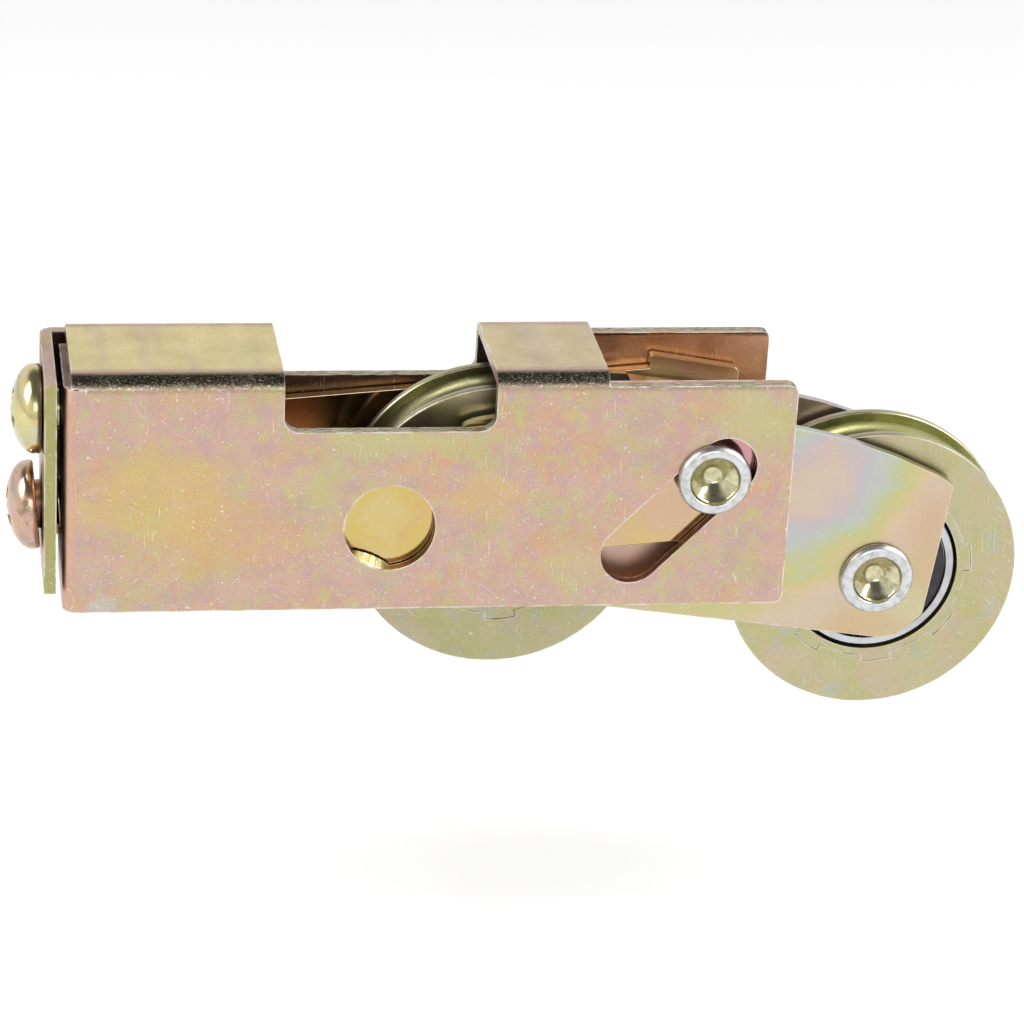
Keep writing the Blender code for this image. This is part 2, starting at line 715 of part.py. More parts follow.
def make_bearing(tag, finishes):
    """Races, cage, balls and seals, centred on the bearing's own middle."""
    steel = finishes["bearing_steel"]
    pieces = [
        turned(f"{tag}_outer_race", outer_race_profile(), BEARING_STEPS, steel),
        turned(f"{tag}_inner_race", inner_race_profile(), BEARING_STEPS, steel),
        make_cage(tag, finishes["cage_steel"]),
    ]
    pieces += [make_ball(tag, number, steel) for number in range(BALL_COUNT)]
    for side, word in ((-1, "near"), (1, "far")):
        low, high = sorted((side * SEAL_FACE, side * (SEAL_FACE - SEAL_THICKNESS)))
        ring = box_outline(SEAL_INNER, SEAL_OUTER, low, high)
        pieces.append(turned(f"{tag}_seal_{word}", ring, BEARING_STEPS, finishes["black_seal"]))
    return pieces


def make_axle(tag, finishes):
    """The axle rivet and the two spacers that centre the inner race on it."""
    profile = rivet_profile(AXLE_SHANK, AXLE_RIM, AXLE_REACH, ROCKER_OUTER + RIM_GAP)
    rivet = finishes["bright_rivet"]
    pieces = [turned(f"{tag}_axle_rivet", profile, ROUND_STEPS, rivet, closed=False)]
    levels = {
        "near": (-ROCKER_INNER + SPACER_GAP, BEARING_SHIFT - BEARING_HALF_WIDTH - SPACER_GAP),
        "far": (BEARING_SHIFT + BEARING_HALF_WIDTH + SPACER_GAP, ROCKER_INNER - SPACER_GAP),
    }
    for word, (low, high) in levels.items():
        ring = box_outline(BEARING_BORE, SPACER_RADIUS, low, high)
        pieces.append(turned(f"{tag}_spacer_{word}", ring, INSIDE_STEPS, finishes["bearing_steel"]))
    return pieces


def make_wheel_set(tag, side, phase, finishes):
    """Everything on one axle, placed on the tilted rocker."""
    bearing = make_bearing(tag, finishes)
    others = make_wheel(tag, phase, finishes["zinc_wheel"], finishes["zinc_rocker"])
    others += make_axle(tag, finishes)
    turn = Matrix.Rotation(-ROCKER_TILT, 3, "Y")
    hub = Vector((PIVOT_AT[0], 0, PIVOT_AT[1])) + turn @ Vector((side * AXLE_SPAN, 0, -AXLE_DROP))
    for piece in others:
        piece.location = hub * MM
    for piece in bearing:
        piece.location = (hub + Vector((0, BEARING_SHIFT, 0))) * MM


def main():
    clear_scene()
    finishes = make_materials()
    make_housing(finishes["zinc_sheet"])
    make_screws(finishes["zinc_screw"], finishes["bearing_steel"])
    make_link(finishes["zinc_rocker"], finishes["zinc_screw"])
    make_rocker(finishes["zinc_rocker"])
    make_pivot(finishes["bright_rivet"])
    make_wheel_set("rear", -1, TAB_PHASES[0], finishes)
    make_wheel_set("front", 1, TAB_PHASES[1], finishes)


main()
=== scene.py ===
"""Looks of the tandem sliding-door roller: finer metalwork, yellow zinc, studio light and the camera.

Sizes are in millimetres unless a comment says otherwise.
"""

import json
import math

import bmesh
import bpy
from mathutils import Matrix, Vector


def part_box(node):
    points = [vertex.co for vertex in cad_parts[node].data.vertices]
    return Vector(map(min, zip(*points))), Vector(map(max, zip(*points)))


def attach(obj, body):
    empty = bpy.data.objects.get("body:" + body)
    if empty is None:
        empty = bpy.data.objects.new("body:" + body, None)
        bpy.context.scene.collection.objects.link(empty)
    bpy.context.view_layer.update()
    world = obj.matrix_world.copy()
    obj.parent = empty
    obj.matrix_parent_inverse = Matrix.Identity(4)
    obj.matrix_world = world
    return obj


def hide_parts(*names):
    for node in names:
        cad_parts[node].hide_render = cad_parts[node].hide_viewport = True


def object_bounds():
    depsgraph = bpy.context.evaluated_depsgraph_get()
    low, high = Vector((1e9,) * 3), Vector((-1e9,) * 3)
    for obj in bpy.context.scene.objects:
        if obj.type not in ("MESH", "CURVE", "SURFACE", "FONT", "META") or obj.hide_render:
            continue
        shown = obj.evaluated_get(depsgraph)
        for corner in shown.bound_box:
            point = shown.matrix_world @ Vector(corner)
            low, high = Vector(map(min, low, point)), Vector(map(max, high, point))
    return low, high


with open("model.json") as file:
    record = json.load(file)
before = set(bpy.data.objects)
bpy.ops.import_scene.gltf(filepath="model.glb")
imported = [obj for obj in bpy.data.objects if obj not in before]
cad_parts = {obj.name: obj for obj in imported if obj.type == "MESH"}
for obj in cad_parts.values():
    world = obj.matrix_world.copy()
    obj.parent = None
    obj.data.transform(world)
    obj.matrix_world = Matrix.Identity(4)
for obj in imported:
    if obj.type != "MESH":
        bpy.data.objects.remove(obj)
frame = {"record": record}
cad_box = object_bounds()

MM = 0.001
JOINTS = {joint["name"]: joint for joint in frame["record"]["behaviour"]["joints"]}

# Sheet metal.
SHEET = 1.5
WEB_BEND_OUTER = 2.4
BEND_OUTER = 1.8
BEND_INNER = BEND_OUTER - SHEET
BEND_STEPS = 12
INNER_STEPS = 4
CORNER_STEPS = 8
ARC_STEPS = 28
# How far cutters reach across the pieces they cut.
ACROSS = 30.0

# How edges are rounded: width, segments, and the least angle in degrees.
SHEET_EDGE = (0.14, 3, 30)
ROCKER_EDGE = (0.12, 3, 30)
NUT_EDGE = (0.25, 3, 30)
RING_EDGE = (0.08, 2, 30)
SCREW_EDGE = (0.08, 2, 32)
CAGE_EDGE = (0.08, 2, 34)
RIVET_EDGE = (0.05, 2, 34)
SEAL_EDGE = (0.04, 2, 34)
RACE_EDGE = (0.04, 1, 34)
SEAM_EDGE = (0.025, 1, 34)
SHARP = math.radians(40)

# Housing features. The web's start and end are measured in from the ends of the CAD box.
WEB_START_IN = 3.2
WEB_END_IN = 24.0
OPEN_WALL_DROP = 1.55
NOTCH = (13.05, 39.5)
NOTCH_DEPTH = 7.35
NOTCH_RADIUS = 2.0
NOTCH_STEPS = 10
WALL_HOLE = (26.7, -20.4)
WALL_HOLE_RADIUS = 5.75
END_CORNER_RADIUS = 1.3
SLOT_ANGLE = math.radians(46.0)
SLOT_RADIUS = 3.9
SLOT_BELOW = 14.4
SLOT_ABOVE = 2.2
FLANGE_LEFT = -14.0
FLANGE_TOP = -1.56
FLANGE_EDGE = 5.4
PLATE_EDGE = -9.4
PLATE_TOP = -1.2
PLATE_BOTTOM = -29.2
CORNER_LAP = 0.9
SCREW_HOLE = 3.6
CLAMP_HOLE = 3.4
ADJUSTING_HOLE = 3.8
ADJUSTING_HOLE_RISE = 0.15

# The ragged lip the punch left low on the left of the near wall's hole, in degrees round the hole.
LIP_START = 219.0
LIP_END = 273.0
LIP_RISE = 1.05
LIP_SWELL = 0.6
LIP_RIPPLE = 0.025
LIP_RIPPLES = (29, 71)
# Overlap into the wall, and depths from the outer face at which the lip starts and ends.
LIP_ROOT = 0.04
LIP_DEPTHS = (0.12, 1.32)
LIP_STEPS = 36

# Screws.
HEAD_RADIUS = 5.65
HEAD_HEIGHT = 3.8
HEAD_SIDE = 0.85
HEAD_STEPS = 14
# The head's lower edge, as (in from the rim, along).
HEAD_RIM = ((0.0, -0.35), (0.12, -0.1), (0.35, 0.0))
# One side of the cross recess, as (half its length, depth below the crown).
RECESS_WING = ((3.3, -0.5), (2.9, 0.45), (1.0, 2.4))
RECESS_HALF_WIDTH = 0.72
RECESS_TURN = math.radians(18)
HEAD_GAP = 0.1
SCREW_RADIUS = 3.1
ADJUSTING_LENGTH = 26.0
THREAD_START = 2.2
THREAD_RUN_OUT = 1.2
THREAD_PITCH = 1.27
THREAD_DEPTH = 0.5
# The shank's neck, one ridge of its thread in shares of the pitch, and its point measured back from the
# end. Each is given as (depth below the crest, along).
SCREW_NECK = ((0.0, 0.0), (0.0, 1.4), (THREAD_DEPTH, 1.8))
THREAD_RIDGE = ((THREAD_DEPTH, 0.0), (0.0, 0.40), (0.0, 0.52), (THREAD_DEPTH, 0.92))
SCREW_POINT = ((0.6, 0.7), (1.2, 0.0), (SCREW_RADIUS, 0.0))
# Bore, outer radius, start and end of the retaining ring.
RETAINER = (3.4, 5.4, 5.6, 6.1)

# Link and rocker, in their own axes with the pivot as origin.
LINK_FACES = (7.0, 8.45)
LINK_LEFT = -67.7
LINK_LEVELS = (-9.04, 8.57)
LINK_END_HALF_HEIGHT = 7.4
LINK_BEND = 1.9
LINK_LAP = 2.0
# A side's outline from the bottom round the right end to the top.
LINK_NOSE = ((5.34, -9.04), (6.55, 7.2), (6.2, 7.66), (-4.5, 10.4), (-5.0, 10.3), (-5.1, 8.57))
# Left, right and top of the relief over the rear axle.
RELIEF = (-33.2, -18.0, 0.6)
PIVOT_HOLE = 3.9
# Width across flats and thickness of the nut, and its gap to the link.
NUT = (11.1, 5.0, 0.1)
ROCKER_FACES = (5.35, 6.65)
ROCKER_BRIDGE_HALF = 10.0
ROCKER_BRIDGE_TOP = 6.75
ROCKER_BRIDGE_BOTTOM = 3.5
ROCKER_BEND = 1.6
ROCKER_LAP = 0.5
ROCKER_TOP_ROUND = 0.3
ROCKER_DROP = -12.35
# The arm's corners past the bridge, as (along from the axle, level from the pivot, corner radius).
ROCKER_ARM = (
    (-8.4, 6.15, 30),
    (-1.0, 4.55, 30),
    (5.75, 2.45, 6),
    (7.3, 1.5, 0.9),
    (7.3, -16.75, 0.6),
    (5.84, -18.58, 1.5),
    (4.47, -20.14, 1.5),
    (2.5, -20.75, 2.0),
)
AXLE_HOLE = 4.0

# Rivets.
PIVOT_RADII = (3.6, 4.7)
AXLE_RADII = (3.85, 4.85)
MOUTH_RADIUS = 3.15
MOUTH_ROLL = 0.42
# The coned mouth inside its rolled edge, as (radius, depth).
MOUTH_STEPS = ((2.9, 0.75), (2.4, 1.0), (1.35, 2.25), (1.05, 2.46), (0.9, 2.5), (0, 2.5))
RIM_ROLL = 0.85
RIM_EDGE = 0.08
RIM_STEPS = 8
RIM_GAP = 0.12

# Wheels and bearings.
WHEEL_RADIUS = 19.05
WHEEL_HALF_WIDTH = 4.35
# The rim's rounded corner, as (in from the rim, in from the side face).
WHEEL_CORNER = ((0.22, 0.0), (0.06, 0.08), (0.0, 0.25))
GROOVE_HALF_WIDTH = 3.1
GROOVE_FLOOR = 15.6
# The groove's edge: broken this far across and down, with the round part starting this deep.
GROOVE_LIP = (0.2, 0.15, 0.6)
GROOVE_STEPS = 12
GROOVE_FULLNESS = 0.8
CUP_OUTER = 12.2
CUP_BORE = 11.3
CUP_INSET = 0.05
# Bore and thickness of the cup's lip on the far side.
CUP_LIP = (9.9, 1.35)
TAB_ROOT = 11.6
TAB_COUNT = 8
TAB_RADIUS = 13.1
TAB_THICKNESS = 0.8
TAB_HALF_ANGLE = 8.5
TAB_GAP = 0.035
TAB_GAP_ANGLE = 0.16
SEAM = 0.01
TAB_PHASES = {"rear": -85.5, "front": -38.0}
ROUND_STEPS = 96
WHEEL_STEPS = 128
SMALL_STEPS = 64
BEARING_BORE = 4.0
BALL_COUNT = 7
BALL_RADIUS = 1.984
BALL_CIRCLE = 7.5
# Half of each race, from its side face in to the ball groove, and half of its back, as (radius, along).
OUTER_FACE = ((9.85, 3.5), (9.85, 2.85), (9.1, 2.75), (9.1, 1.45))
OUTER_BACK = ((10.65, 3.5), (10.9, 3.38), (11.0, 3.1))
INNER_FACE = ((5.7, 3.5), (5.9, 3.3), (5.9, 1.45))
INNER_BACK = ((4.0, 3.5),)
# Ball grooves: the radius, minus where the race is inside the balls, and its points' angles in radians.
OUTER_GROOVE = (2.18, (0.62, 0.4, 0.2))
INNER_GROOVE = (-2.15, (0.6, 0.4, 0.2))
SEAL = ((6.05, 3.18), (6.9, 3.18), (7.1, 3.3), (9.0, 3.3), (9.2, 3.2), (9.7, 3.2), (9.7, 2.9), (6.05, 2.9))
# Bore, outer radius and half width of the ball cage, and its pockets, turned as (radius, along).
CAGE = (7.0, 8.0, 2.6)
CAGE_POCKET = ((0, 5), (2.15, 5), (2.15, 10), (0, 10))
POCKET_STEPS = 32
SPACER_RADIUS = 5.6

# Studio. Angles are in degrees.
FLOOR_REACH = 3000.0
FLOOR_THICKNESS = 5.0
FLOOR_GAP = 30.0
LENS = 143.6
CAMERA_PLACE = (-34.0, -473.25, 188.2)
# Heading, dip and roll.
CAMERA_ANGLES = (9.327, 23.761, 3.126)
# Near and far clipping, in metres.
CLIP = (0.01, 20.0)
# The world's glow over the Z of the direction: change starts, change ends, glow below, glow above.
CEILING = (0.45, 0.80, 1.06, 0.16)
LIGHT_TARGET = (43.7, 0.0, -22.0)
# Each panel's place, size and power in watts.
PANELS = {
    "left panel": ((-620, -60, 480), (420, 520), 4.6),
    "right panel": ((640, -120, 460), (420, 520), 4.2),
    "front panel": ((20, -700, 330), (420, 200), 0.9),
}


class Shader:
    """The nodes of a material or a world, written as short calls that return sockets."""

    def __init__(self, name, kind="materials"):
        self.owner = getattr(bpy.data, kind).new(name)
        self.owner.use_nodes = True
        self.tree = self.owner.node_tree
        self.tree.nodes.clear()

    def node(self, kind, inputs=None, **settings):
        """A new node with its inputs given as {name or number: socket or plain value}."""
        made = self.tree.nodes.new("ShaderNode" + kind)
        for key, value in settings.items():
            setattr(made, key, value)
        for key, value in (inputs or {}).items():
            self.put(made.inputs[key], value)
        return made

    def put(self, socket, value):
        """Join a socket to another, or give it a plain value or colour."""
        if isinstance(value, bpy.types.NodeSocket):
            self.tree.links.new(value, socket)
        elif isinstance(value, tuple) and socket.type == "RGBA":
            socket.default_value = (*value[:3], 1.0)
        elif value is not None:
            socket.default_value = value

    def place(self, stretch=(1, 1, 1), turn=0.0, shift=0.0):
        """The piece's own coordinates in millimetres, turned about Y and then stretched."""
        coords = self.node("TexCoord").outputs["Object"]
        turned_to = self.node("Mapping", {"Rotation": (0, turn, 0), "Vector": coords}).outputs[0]
        scale = [s / MM for s in stretch]
        move = (shift, shift * 0.7, shift * 1.3)
        return self.node("Mapping", {"Scale": scale, "Location": move, "Vector": turned_to}).outputs[0]

    def axis(self, where, name):
        return self.node("SeparateXYZ", {0: where}).outputs[name]

    def depth(self, where):
        """Distance from the middle plane of the piece."""
        return self.math("ABSOLUTE", self.axis(where, "Y"))

    def noise(self, where, size, detail=3.0, rough=0.5, warp=0.0):
        """Noise from 0 to 1 with features about as wide as size, in millimetres."""
        inputs = {"Vector": where, "Scale": 1 / size, "Detail": detail}
        inputs.update({"Roughness": rough, "Distortion": warp})
        return self.node("TexNoise", inputs).outputs["Fac"]

    def ramp(self, value, stops, smooth="LINEAR"):
        made = self.node("ValToRGB", {0: value})
        made.color_ramp.interpolation = smooth
        elements = made.color_ramp.elements
        while len(elements) < len(stops):
            elements.new(1.0)
        for element, (at, colour) in zip(elements, stops):
            element.position = at
            element.color = (*colour, 1.0)
        return made.outputs[0]

    def span(self, value, low, high, out_low=0.0, out_high=1.0, smooth=True):
        """The value stretched from low..high to out_low..out_high."""
        inputs = {"Value": value, "From Min": low, "From Max": high, "To Min": out_low, "To Max": out_high}
        kind = "SMOOTHSTEP" if smooth else "LINEAR"
        return self.node("MapRange", inputs, interpolation_type=kind).outputs[0]

    def math(self, operation, first, second=None):
        return self.node("Math", {0: first, 1: second}, operation=operation).outputs[0]

    def product(self, *values):
        found = values[0]
        for value in values[1:]:
            found = self.math("MULTIPLY", found, value)
        return found

    def mix(self, share, first, second, blend="MIX"):
        inputs = {"Factor": share, 6: first, 7: second}
        return self.node("Mix", inputs, data_type="RGBA", blend_type=blend).outputs[2]

    def grey(self, value):
        return self.node("CombineColor", {0: value, 1: value, 2: value}).outputs[0]

    def normal_axis(self, name):
        """Size of one component of the surface normal in the piece's own axes."""
        normal = self.node("TexCoord").outputs["Normal"]
        return self.math("ABSOLUTE", self.axis(normal, name))

    def edges(self, radius):
        """1 along outer edges, 0 on the flat."""
        bevel = self.node("Bevel", {"Radius": radius * MM}, samples=4)
        plain = self.node("NewGeometry").outputs["Normal"]
        inputs = {0: bevel.outputs[0], 1: plain}
        dot = self.node("VectorMath", inputs, operation="DOT_PRODUCT")
        return self.span(dot.outputs["Value"], 0.995, 0.93)

    def distance(self, where, centre, reach=(1.0, 1.0)):
        """How far each point is from an (x, z) place on the side of the piece, in units of the reach."""
        across = self.math("DIVIDE", self.math("SUBTRACT", self.axis(where, "X"), centre[0]), reach[0])
        up = self.math("DIVIDE", self.math("SUBTRACT", self.axis(where, "Z"), centre[1]), reach[1])
        return self.math("SQRT", self.math("ADD", self.product(across, across), self.product(up, up)))

    def spot(self, where, centre, reach, warp=0.0):
        """1 at a place on the side of the piece, fading to 0 at its reach. Places are (x, z)."""
        far = self.distance(where, centre, reach)
        if warp:
            ragged = self.math("SUBTRACT", self.noise(where, 5.0, 4.0, 0.6), 0.5)
            far = self.math("ADD", far, self.product(ragged, warp))
        return self.span(far, 1.0, 0.25)

    def bump(self, height, strength, distance, over=None):
        inputs = {"Strength": strength, "Distance": distance * MM, "Height": height, "Normal": over}
        return self.node("Bump", inputs).outputs[0]

    def finish(self, colour, roughness, metallic, normal=None):
        inputs = {"Base Color": colour, "Roughness": roughness, "Metallic": metallic, "Normal": normal}
        shader = self.node("BsdfPrincipled", inputs)
        self.node("OutputMaterial", {0: shader.outputs[0]})
        return self.owner


# Where tones change, in millimetres as (none at, full at). These run along X,
PAST_CORNER = (-12.0, -11.8)
AT_CORNER = (-11.8, -13.4)
AT_PLATE = (-14.15, -14.30)
UNDER_WEB = (50.0, 44.0)
PAST_WEB = (44.0, 54.0)
BEFORE_END = (76.5, 75.5)
# these across Y, all but the first as a depth from the middle,
NEAR_WALL = (-8.2, -8.6)
PAST_INNER_FACE = (8.80, 8.90)
BEFORE_OUTER_FACE = (10.20, 10.10)
CHANNEL_DEPTHS = (8.84, 8.78)
BEND_DEPTHS = (7.2, 7.9)
LINK_INSIDE = (7.10, 7.04)
IN_GROOVE = (3.20, 3.05)
# and these up Z.
TOP_LEVELS = (-1.0, -0.5)
BELOW_WEB = (-1.4, -1.6)
CHANNEL_LEVELS = (-1.40, -1.46)
BEND_LEVELS = (-3.2, -2.0)
SHADED_LEVELS = (-14.0, -11.0)
UNDER_NOTCH = (-8.0, -8.6)
OVER_BOTTOM = (-30.4, -29.8)

# Tones of the plating, as linear colours.
PINK = (0.56, 0.375, 0.315)
ROSE = (0.50, 0.325, 0.33)
ORANGE = (0.59, 0.36, 0.21)
GOLD = (0.60, 0.45, 0.15)
PALE_GOLD = (0.60, 0.50, 0.25)
TOP_GOLD = (0.76, 0.64, 0.31)
OLIVE = (0.44, 0.45, 0.21)
LIME = (0.50, 0.50, 0.22)
STRAW = (0.56, 0.52, 0.31)
LILAC = (0.47, 0.40, 0.47)
MIST = (0.46, 0.51, 0.48)
PALE_LILAC = (0.50, 0.44, 0.48)
PALE_MIST = (0.47, 0.53, 0.48)
MOUTH_OLIVE = (0.40, 0.38, 0.19)
PIVOT_MOUTH = (0.58, 0.54, 0.38)
AXLE_MOUTH = (0.62, 0.57, 0.42)
PEACH = (0.62, 0.48, 0.37)
COPPER = (0.66, 0.35, 0.22)
BRONZE = (0.66, 0.48, 0.33)
# Painted shade inside the channel: the next two tones.
DARK_COPPER = (0.42, 0.28, 0.20)
UMBER = (0.14, 0.085, 0.065)
CHESTNUT = (0.22, 0.13, 0.09)
PINK_COPPER = (0.53, 0.35, 0.28)
RIBBED_GOLD = (0.50, 0.40, 0.14)
BLUSH = (0.56, 0.28, 0.31)
# Painted reflection of the end plate on the near corner bend.
END_PLATE_REFLECTION = (0.58, 0.37, 0.27)
EDGE_LIME = (0.38, 0.35, 0.15)
# Darker groove of the rear wheel, painted shade deep in the channel.
MOSS = (0.40, 0.38, 0.20)
CREAM = (0.58, 0.49, 0.39)
SILVER = (0.60, 0.61, 0.62)
DULL_SILVER = (0.44, 0.44, 0.42)
# Bare metal of wear, also the painted highlight along edges.
BARE = (0.82, 0.80, 0.75)


def patched(s, base, patches, seed):
    """Patches of other tones over a base tone. A patch is (tone, size, low, high, strength)."""
    colour = base
    for number, (tone, size, low, high, strength) in enumerate(patches):
        where = s.place(shift=seed + 37.0 * number)
        cloud = s.noise(where, size, 4.0, 0.58, 0.5)
        colour = s.mix(s.product(s.span(cloud, low, high), strength), colour, tone)
    return colour


def spotted(s, where, base, spots, warp):
    """Tinted areas over a base tone. A spot is ((x, z), reach, tone, strength)."""
    colour = base
    for centre, reach, tone, strength in spots:
        colour = s.mix(s.product(s.spot(where, centre, reach, warp), strength), colour, tone)
    return colour


def scratched(s, seed, amount):
    """Hair-fine scratches in two directions, and short curled ones, only in some areas."""
    wave = s.noise(s.place(shift=seed + 5.0), 2.2, 1.0)
    thin = s.span(s.math("ABSOLUTE", s.math("SUBTRACT", wave, 0.5)), 0.008, 0.003)
    found = s.product(thin, s.span(s.noise(s.place(shift=seed + 60.0), 1.5, 1.0), 0.63, 0.70), amount)
    for turn, seen_at in ((math.radians(2), 0.48), (math.radians(52), 0.56)):
        lines = s.noise(s.place((1.0, 1.0, 0.045), turn, seed), 0.16, 1.0)
        area = s.noise(s.place(shift=seed + 90 * turn), 7.0, 2.0)
        cut = s.product(s.span(lines, 0.66, 0.76), s.span(area, seen_at, seen_at + 0.10), amount)
        found = s.math("MAXIMUM", found, cut)
    return found


def bare_metal(s, where, seed, wear, scratches, specks):
    """Where the plating is worn through: scratches, small specks and edges, whose bright line is partly
    wear and partly a painted highlight.
    """
    patchy = s.span(s.noise(where, 2.2, 3.0), 0.36, 0.58)
    # Bright edges: partly worn plating, partly a painted highlight.
    edge = s.product(s.edges(0.30), patchy, wear)
    dots = s.product(s.span(s.noise(where, 0.42, 1.0), 0.715, 0.77), specks)
    return s.math("MAXIMUM", s.math("MAXIMUM", edge, dots), scratched(s, seed, scratches))


def plated(s, colour, seed, rough, grain=0.22, wear=0.5, scratches=0.3, specks=0.4, relief=0.012, shade=1.0,
           speckle=0.13):
    """Finish a plated piece: fine speckle, bare metal where worn and along edges as a partly painted
    highlight, and a surface that isn't quite flat.
    """
    where = s.place(shift=seed)
    fine = s.noise(where, grain, 2.0, 0.7)
    dots = s.span(fine, 0.3, 0.7, (1 - speckle) * shade, (1 + speckle) * shade, smooth=False)
    colour = s.mix(1.0, colour, s.grey(dots), "MULTIPLY")
    bare = bare_metal(s, where, seed, wear, scratches, specks)
    colour = s.mix(bare, colour, BARE)
    gloss = s.span(s.noise(where, 4.0, 3.0), 0.3, 0.7, *rough)
    swell = s.bump(s.noise(where, 6.0, 1.0), 0.2, 0.08)
    height = s.math("SUBTRACT", fine, s.product(bare, 0.5))
    return s.finish(colour, gloss, 1.0, s.bump(height, 0.35, relief, swell))


def wall_tone(s, where):
    """Cloudy pink and green-gold of the side walls, with a painted coppery reflection of the end plate on
    the near corner bend.
    """
    wall = spotted(s, where, patched(s, PINK, HOUSING_PATCHES, 3.0), HOUSING_SPOTS, 1.7)
    # Painted reflection of the end plate on the near wall's corner bend.
    corner = s.product(s.span(s.axis(where, "X"), *AT_CORNER), s.span(s.axis(where, "Y"), *NEAR_WALL))
    return s.mix(corner, wall, END_PLATE_REFLECTION)


def web_tone(s, where):
    """Gold of the web, streaked with pink across it; its second piece is pinker."""
    streaks = s.noise(s.place((1.0, 0.12, 1.0), shift=7.0), 5.0, 3.0)
    top = s.mix(s.span(streaks, 0.46, 0.66, 0.0, 0.6), TOP_GOLD, PEACH)
    top = s.mix(s.span(s.noise(where, 6.0, 3.0), 0.5, 0.7, 0.0, 0.22), top, LIME)
    top = s.mix(s.span(s.axis(where, "X"), 34.0, 44.0, 0.0, 0.5), top, PEACH)
    beside_bend = s.span(s.depth(where), 6.7, 7.7, 0.0, 0.6)
    return s.mix(beside_bend, top, ROSE)


def cut_tone(s, where, level):
    """Sheared metal in the thickness of the sheet: greenish at its ends, and in the hole and the slot a
    brown darkened with painted shade.
    """
    grain = s.noise(s.place((0.25, 1.0, 0.25), shift=9.0), 0.30, 3.0, 0.7)
    in_wall = s.product(s.span(level, *UNDER_NOTCH), s.span(level, *OVER_BOTTOM))
    # The hole's and the slot's walls get the brown with painted shade.
    in_opening = s.product(in_wall, s.span(s.axis(where, "X"), *BEFORE_END))
    return s.mix(in_opening, s.ramp(grain, CUT_TONES), s.ramp(grain, BORE_SHADE_TONES))


def lining_tone(s, where, level):
    """Copper inside the channel, darker towards the screws and darkest under the web, as painted shade."""
    along = s.axis(where, "X")
    # Painted shade: darker copper towards the screws, umber deepest under the web.
    lining = s.mix(s.span(along, *PAST_WEB), DARK_COPPER, COPPER)
    painted_shade = s.product(s.span(level, *SHADED_LEVELS), s.span(along, *UNDER_WEB))
    return s.mix(painted_shade, lining, UMBER)


def bend_share(s, level, depth, facing_up):
    """1 on the drawn bends between web and walls, where a dark reflection with bright glints is painted."""
    steep = s.normal_axis("Z")
    on_bend = s.product(s.span(facing_up, 1.0, 0.0), s.span(steep, 0.10, 0.30))
    near_top = s.product(s.span(level, *BEND_LEVELS), s.span(depth, *BEND_DEPTHS))
    return s.product(on_bend, near_top, s.span(steep, 0.15, 0.70, 0.35, 1.0))


def housing_finish():
    """Cloudy pink and green-gold sheet: golden on top, with a painted dark reflection on its bends, coppery
    inside with painted shade deeper in.
    """
    s = Shader("Housing zinc")
    where = s.place()
    along = s.axis(where, "X")
    level = s.axis(where, "Z")
    depth = s.depth(where)
    facing_up = s.span(s.normal_axis("Z"), 0.90, 0.99)
    facing_side = s.span(s.normal_axis("Y"), 0.30, 0.70)
    on_top = s.product(facing_up, s.span(level, *TOP_LEVELS))
    colour = s.mix(on_top, wall_tone(s, where), web_tone(s, where))
    in_depth = s.product(s.span(depth, *PAST_INNER_FACE), s.span(depth, *BEFORE_OUTER_FACE))
    in_sheet = s.product(in_depth, s.span(level, *BELOW_WEB), s.span(along, *PAST_CORNER))
    cut = s.product(in_sheet, s.span(facing_side, 1.0, 0.0))
    colour = s.mix(cut, colour, cut_tone(s, where, level))
    colour = s.mix(s.product(s.span(along, *AT_PLATE), facing_side), colour, EDGE_LIME)
    inside = s.product(s.span(depth, *CHANNEL_DEPTHS), s.span(level, *CHANNEL_LEVELS))
    colour = s.mix(inside, colour, lining_tone(s, where, level))
    # Painted dark reflection on the bends, with painted bright glints.
    bend_glint_grain = s.noise(s.place((0.55, 1.0, 1.0), shift=2.0), 0.19, 4.0, 0.8)
    colour = s.mix(bend_share(s, level, depth, facing_up), colour, s.ramp(bend_glint_grain, PAINTED_BEND_REFLECTION_TONES))
    return plated(s, colour, 3.0, (0.32, 0.44), wear=1.0, scratches=0.5, specks=0.5, relief=0.018,
                  shade=0.94)


def rocker_finish():
    """Smooth satin plate with broad pastel rainbow bands that wander across it."""
    s = Shader("Rocker zinc")
    leaning = s.place(turn=RAINBOW_LEAN)
    across = s.math("SUBTRACT", s.axis(leaning, "X"), RAINBOW_CENTRE[0])
    along = s.math("SUBTRACT", s.axis(leaning, "Z"), RAINBOW_CENTRE[1])
    along = s.math("DIVIDE", along, RAINBOW_STRETCH)
    far = s.math("SQRT", s.math("ADD", s.product(across, across), s.product(along, along)))
    ragged = s.math("SUBTRACT", s.noise(s.place(), 7.0, 2.5, 0.55, 0.8), 0.5)
    wander = s.product(ragged, RAINBOW_WANDER)
    film = s.math("ADD", far, wander)
    colour = s.ramp(s.span(film, 0.0, RAINBOW_REACH, smooth=False), RAINBOW, "B_SPLINE")
    colour = spotted(s, s.place(), colour, ROCKER_SPOTS, 1.0)
    return plated(s, colour, 17.0, (0.28, 0.36), grain=0.16, scratches=0.15, specks=0.2, relief=0.004,
                  shade=0.90, speckle=0.05)


def zinc(name, base, patches, seed, rough, **wear):
    """A smaller plated piece: a base tone with patches of others."""
    s = Shader(name)
    return plated(s, patched(s, base, patches, seed), seed, rough, **wear)


